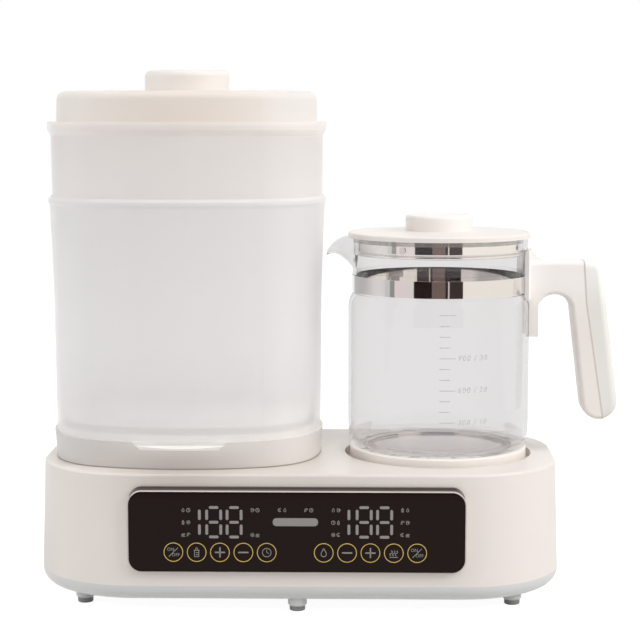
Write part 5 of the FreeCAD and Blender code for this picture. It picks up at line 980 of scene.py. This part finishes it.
# Stage: white floor that keeps a faint shadow, and dark and light walls that only steel and gloss show
# A band of the walls is given by its angles round the kettle and its colour
stageLook = {
    "floorSize": 8.0, "bounce": 0.70, "floorGlow": 0.74, "glow": 1.26, "white": 1.0, "throughGlass": 0.82,
}
wallLook = {
    "radius": 1.7, "low": -0.6, "high": 2.6, "step": 4, "nameFrom": 200,
    "bands": (
        (-120, -68, (0.62, 0.65, 0.64)),
        (-68, -61, (0.34, 0.32, 0.31)),
        (-61, -34.4, (0.80, 0.73, 0.72)),
        (-34.4, -11.2, (0.020, 0.012, 0.012)),
        (-11.2, 6, (0.18, 0.125, 0.115)),
        (6, 9.4, (0.030, 0.020, 0.018)),
        (9.4, 10.9, (0.80, 0.74, 0.68)),
        (10.9, 28.5, (0.050, 0.034, 0.032)),
        (28.5, 120, (0.96, 0.92, 0.85)),
    ),
}


def grey(level):
    return (level, level, level, 1.0)


# White to camera and gloss, a little darker to what has come through glass
def seenWhite(graph, kind):
    shades = [graph.node(kind, {}, {"Color": grey(level), "Strength": 1.0})
              for level in (stageLook["white"], stageLook["throughGlass"])]
    return graph.mixShader(graph.node("LightPath", out="Is Transmission Ray"), *shades)


def whiteRay(graph):
    camera, gloss, passed = (graph.node("LightPath", out=name)
                             for name in ("Is Camera Ray", "Is Glossy Ray", "Is Transmission Ray"))
    return (camera + gloss + passed).atMost(1.0)


def stagePiece(name, work, material):
    mesh = bpy.data.meshes.new(name)
    work.to_mesh(mesh)
    work.free()
    mesh.materials.append(material)
    made = bpy.data.objects.new(name, mesh)
    scene.collection.objects.link(made)
    return made


def stageFloor():
    look = stageLook
    material, graph = newMaterial("stageFloor")
    plain = graph.node("BsdfDiffuse", {}, {"Color": grey(look["bounce"])})
    bright = graph.node("BsdfDiffuse", {}, {"Color": grey(look["white"])})
    glow = graph.node("Emission", {}, {"Color": grey(look["white"]), "Strength": look["glow"]})
    seen = graph.mixShader(look["floorGlow"], bright, glow)
    mirrored = graph.mixShader(whiteRay(graph), plain, seenWhite(graph, "Emission"))
    graph.close(graph.mixShader(graph.node("LightPath", out="Is Camera Ray"), mirrored, seen))
    work = bmesh.new()
    bmesh.ops.create_grid(work, x_segments=1, y_segments=1, size=look["floorSize"] / 2)
    return stagePiece("stage_floor", work, material)


def stageWalls():
    look = wallLook
    for start, end, colour in look["bands"]:
        name = "stage_wall_" + str(int(start + look["nameFrom"]))
        material, graph = newMaterial(name)
        graph.close(graph.node("Emission", {}, {"Color": (*colour, 1.0), "Strength": 1.0}))
        work = bmesh.new()
        angle = math.radians(start)
        foot = (kettleX + look["radius"] * math.sin(angle), kettleY - look["radius"] * math.cos(angle))
        verts = [work.verts.new((*foot, z)) for z in (look["low"], look["high"])]
        edge = work.edges.new(verts)
        bmesh.ops.spin(work, geom=[*verts, edge], cent=(kettleX, kettleY, 0), axis=(0, 0, 1),
                       angle=math.radians(end - start), steps=max(1, int((end - start) / look["step"])))
        wall = stagePiece(name, work, material)
        wall.visible_camera = False
        wall.visible_diffuse = False
        wall.visible_shadow = False


stageFloor()
stageWalls()

# World and lamps
lightLook = {
    "ambient": 0.30,
    "lamps": {
        "keyLamp": {
            "place": (2.1, -0.95, 1.5), "aim": (0.02, 0, 0.15),
            "size": 1.3, "power": 37, "colour": (1.0, 0.99, 0.98),
        },
        "topLamp": {
            "place": (0.1, -0.75, 2.3), "aim": (0, 0, 0.1),
            "size": 1.8, "power": 17.5, "colour": (1.0, 1.0, 1.0),
        },
        "frontLamp": {
            "place": (0.15, -1.9, 1.7), "aim": (0, 0, 0.2),
            "size": 1.2, "power": 4.5, "colour": (1.0, 0.99, 0.98),
        },
        "backLamp": {
            "place": (-0.3, 1.9, 1.0), "aim": (-0.05, 0, 0.22),
            "size": 1.6, "power": 8, "colour": (1.0, 1.0, 1.0),
        },
        "leftLamp": {
            "place": (-2.2, -0.6, 0.9), "aim": (0, 0, 0.2),
            "size": 1.2, "power": 18, "colour": (0.97, 0.985, 1.0),
        },
    },
}


# Turns a lamp or the camera at its place towards its aim
def placeAt(holder, place, aim):
    scene.collection.objects.link(holder)
    holder.location = place
    holder.rotation_euler = (aim - place).to_track_quat("-Z", "Y").to_euler()


def lightStage():
    world = bpy.data.worlds.new("studio")
    scene.world = world
    graph = Graph(world)
    dim = graph.node("Background", {}, {"Color": grey(lightLook["ambient"]), "Strength": 1.0})
    graph.close(graph.mixShader(whiteRay(graph), dim, seenWhite(graph, "Background")), "World")
    for name, look in lightLook["lamps"].items():
        lamp = bpy.data.lights.new(name, "AREA")
        lamp.shape = "DISK"
        lamp.size = look["size"]
        lamp.energy = look["power"]
        lamp.color = look["colour"]
        holder = bpy.data.objects.new(name, lamp)
        placeAt(holder, Vector(look["place"]), Vector(look["aim"]))
        holder.visible_camera = False
        holder.visible_glossy = False
        holder.visible_transmission = False


lightStage()
print("stage lit")

# Camera: place and aim from the middle of the base, in millimetres, and how far it sees, in metres
cameraLook = {
    "place": (40.11, -1303.30, 340.0), "aim": (13.95, 0.0, 191.47), "lens": 102.49, "sensor": 36, "reach": 50,
}


def placeCamera():
    look = cameraLook
    data = bpy.data.cameras.new("mainCamera")
    data.sensor_width = look["sensor"]
    data.lens = look["lens"]
    data.clip_end = look["reach"]
    holder = bpy.data.objects.new("mainCamera", data)
    middle = Vector((baseX, baseY, 0))
    placeAt(holder, middle + Vector(look["place"]) * mm, middle + Vector(look["aim"]) * mm)
    scene.camera = holder


placeCamera()
scene.view_settings.view_transform = "Standard"
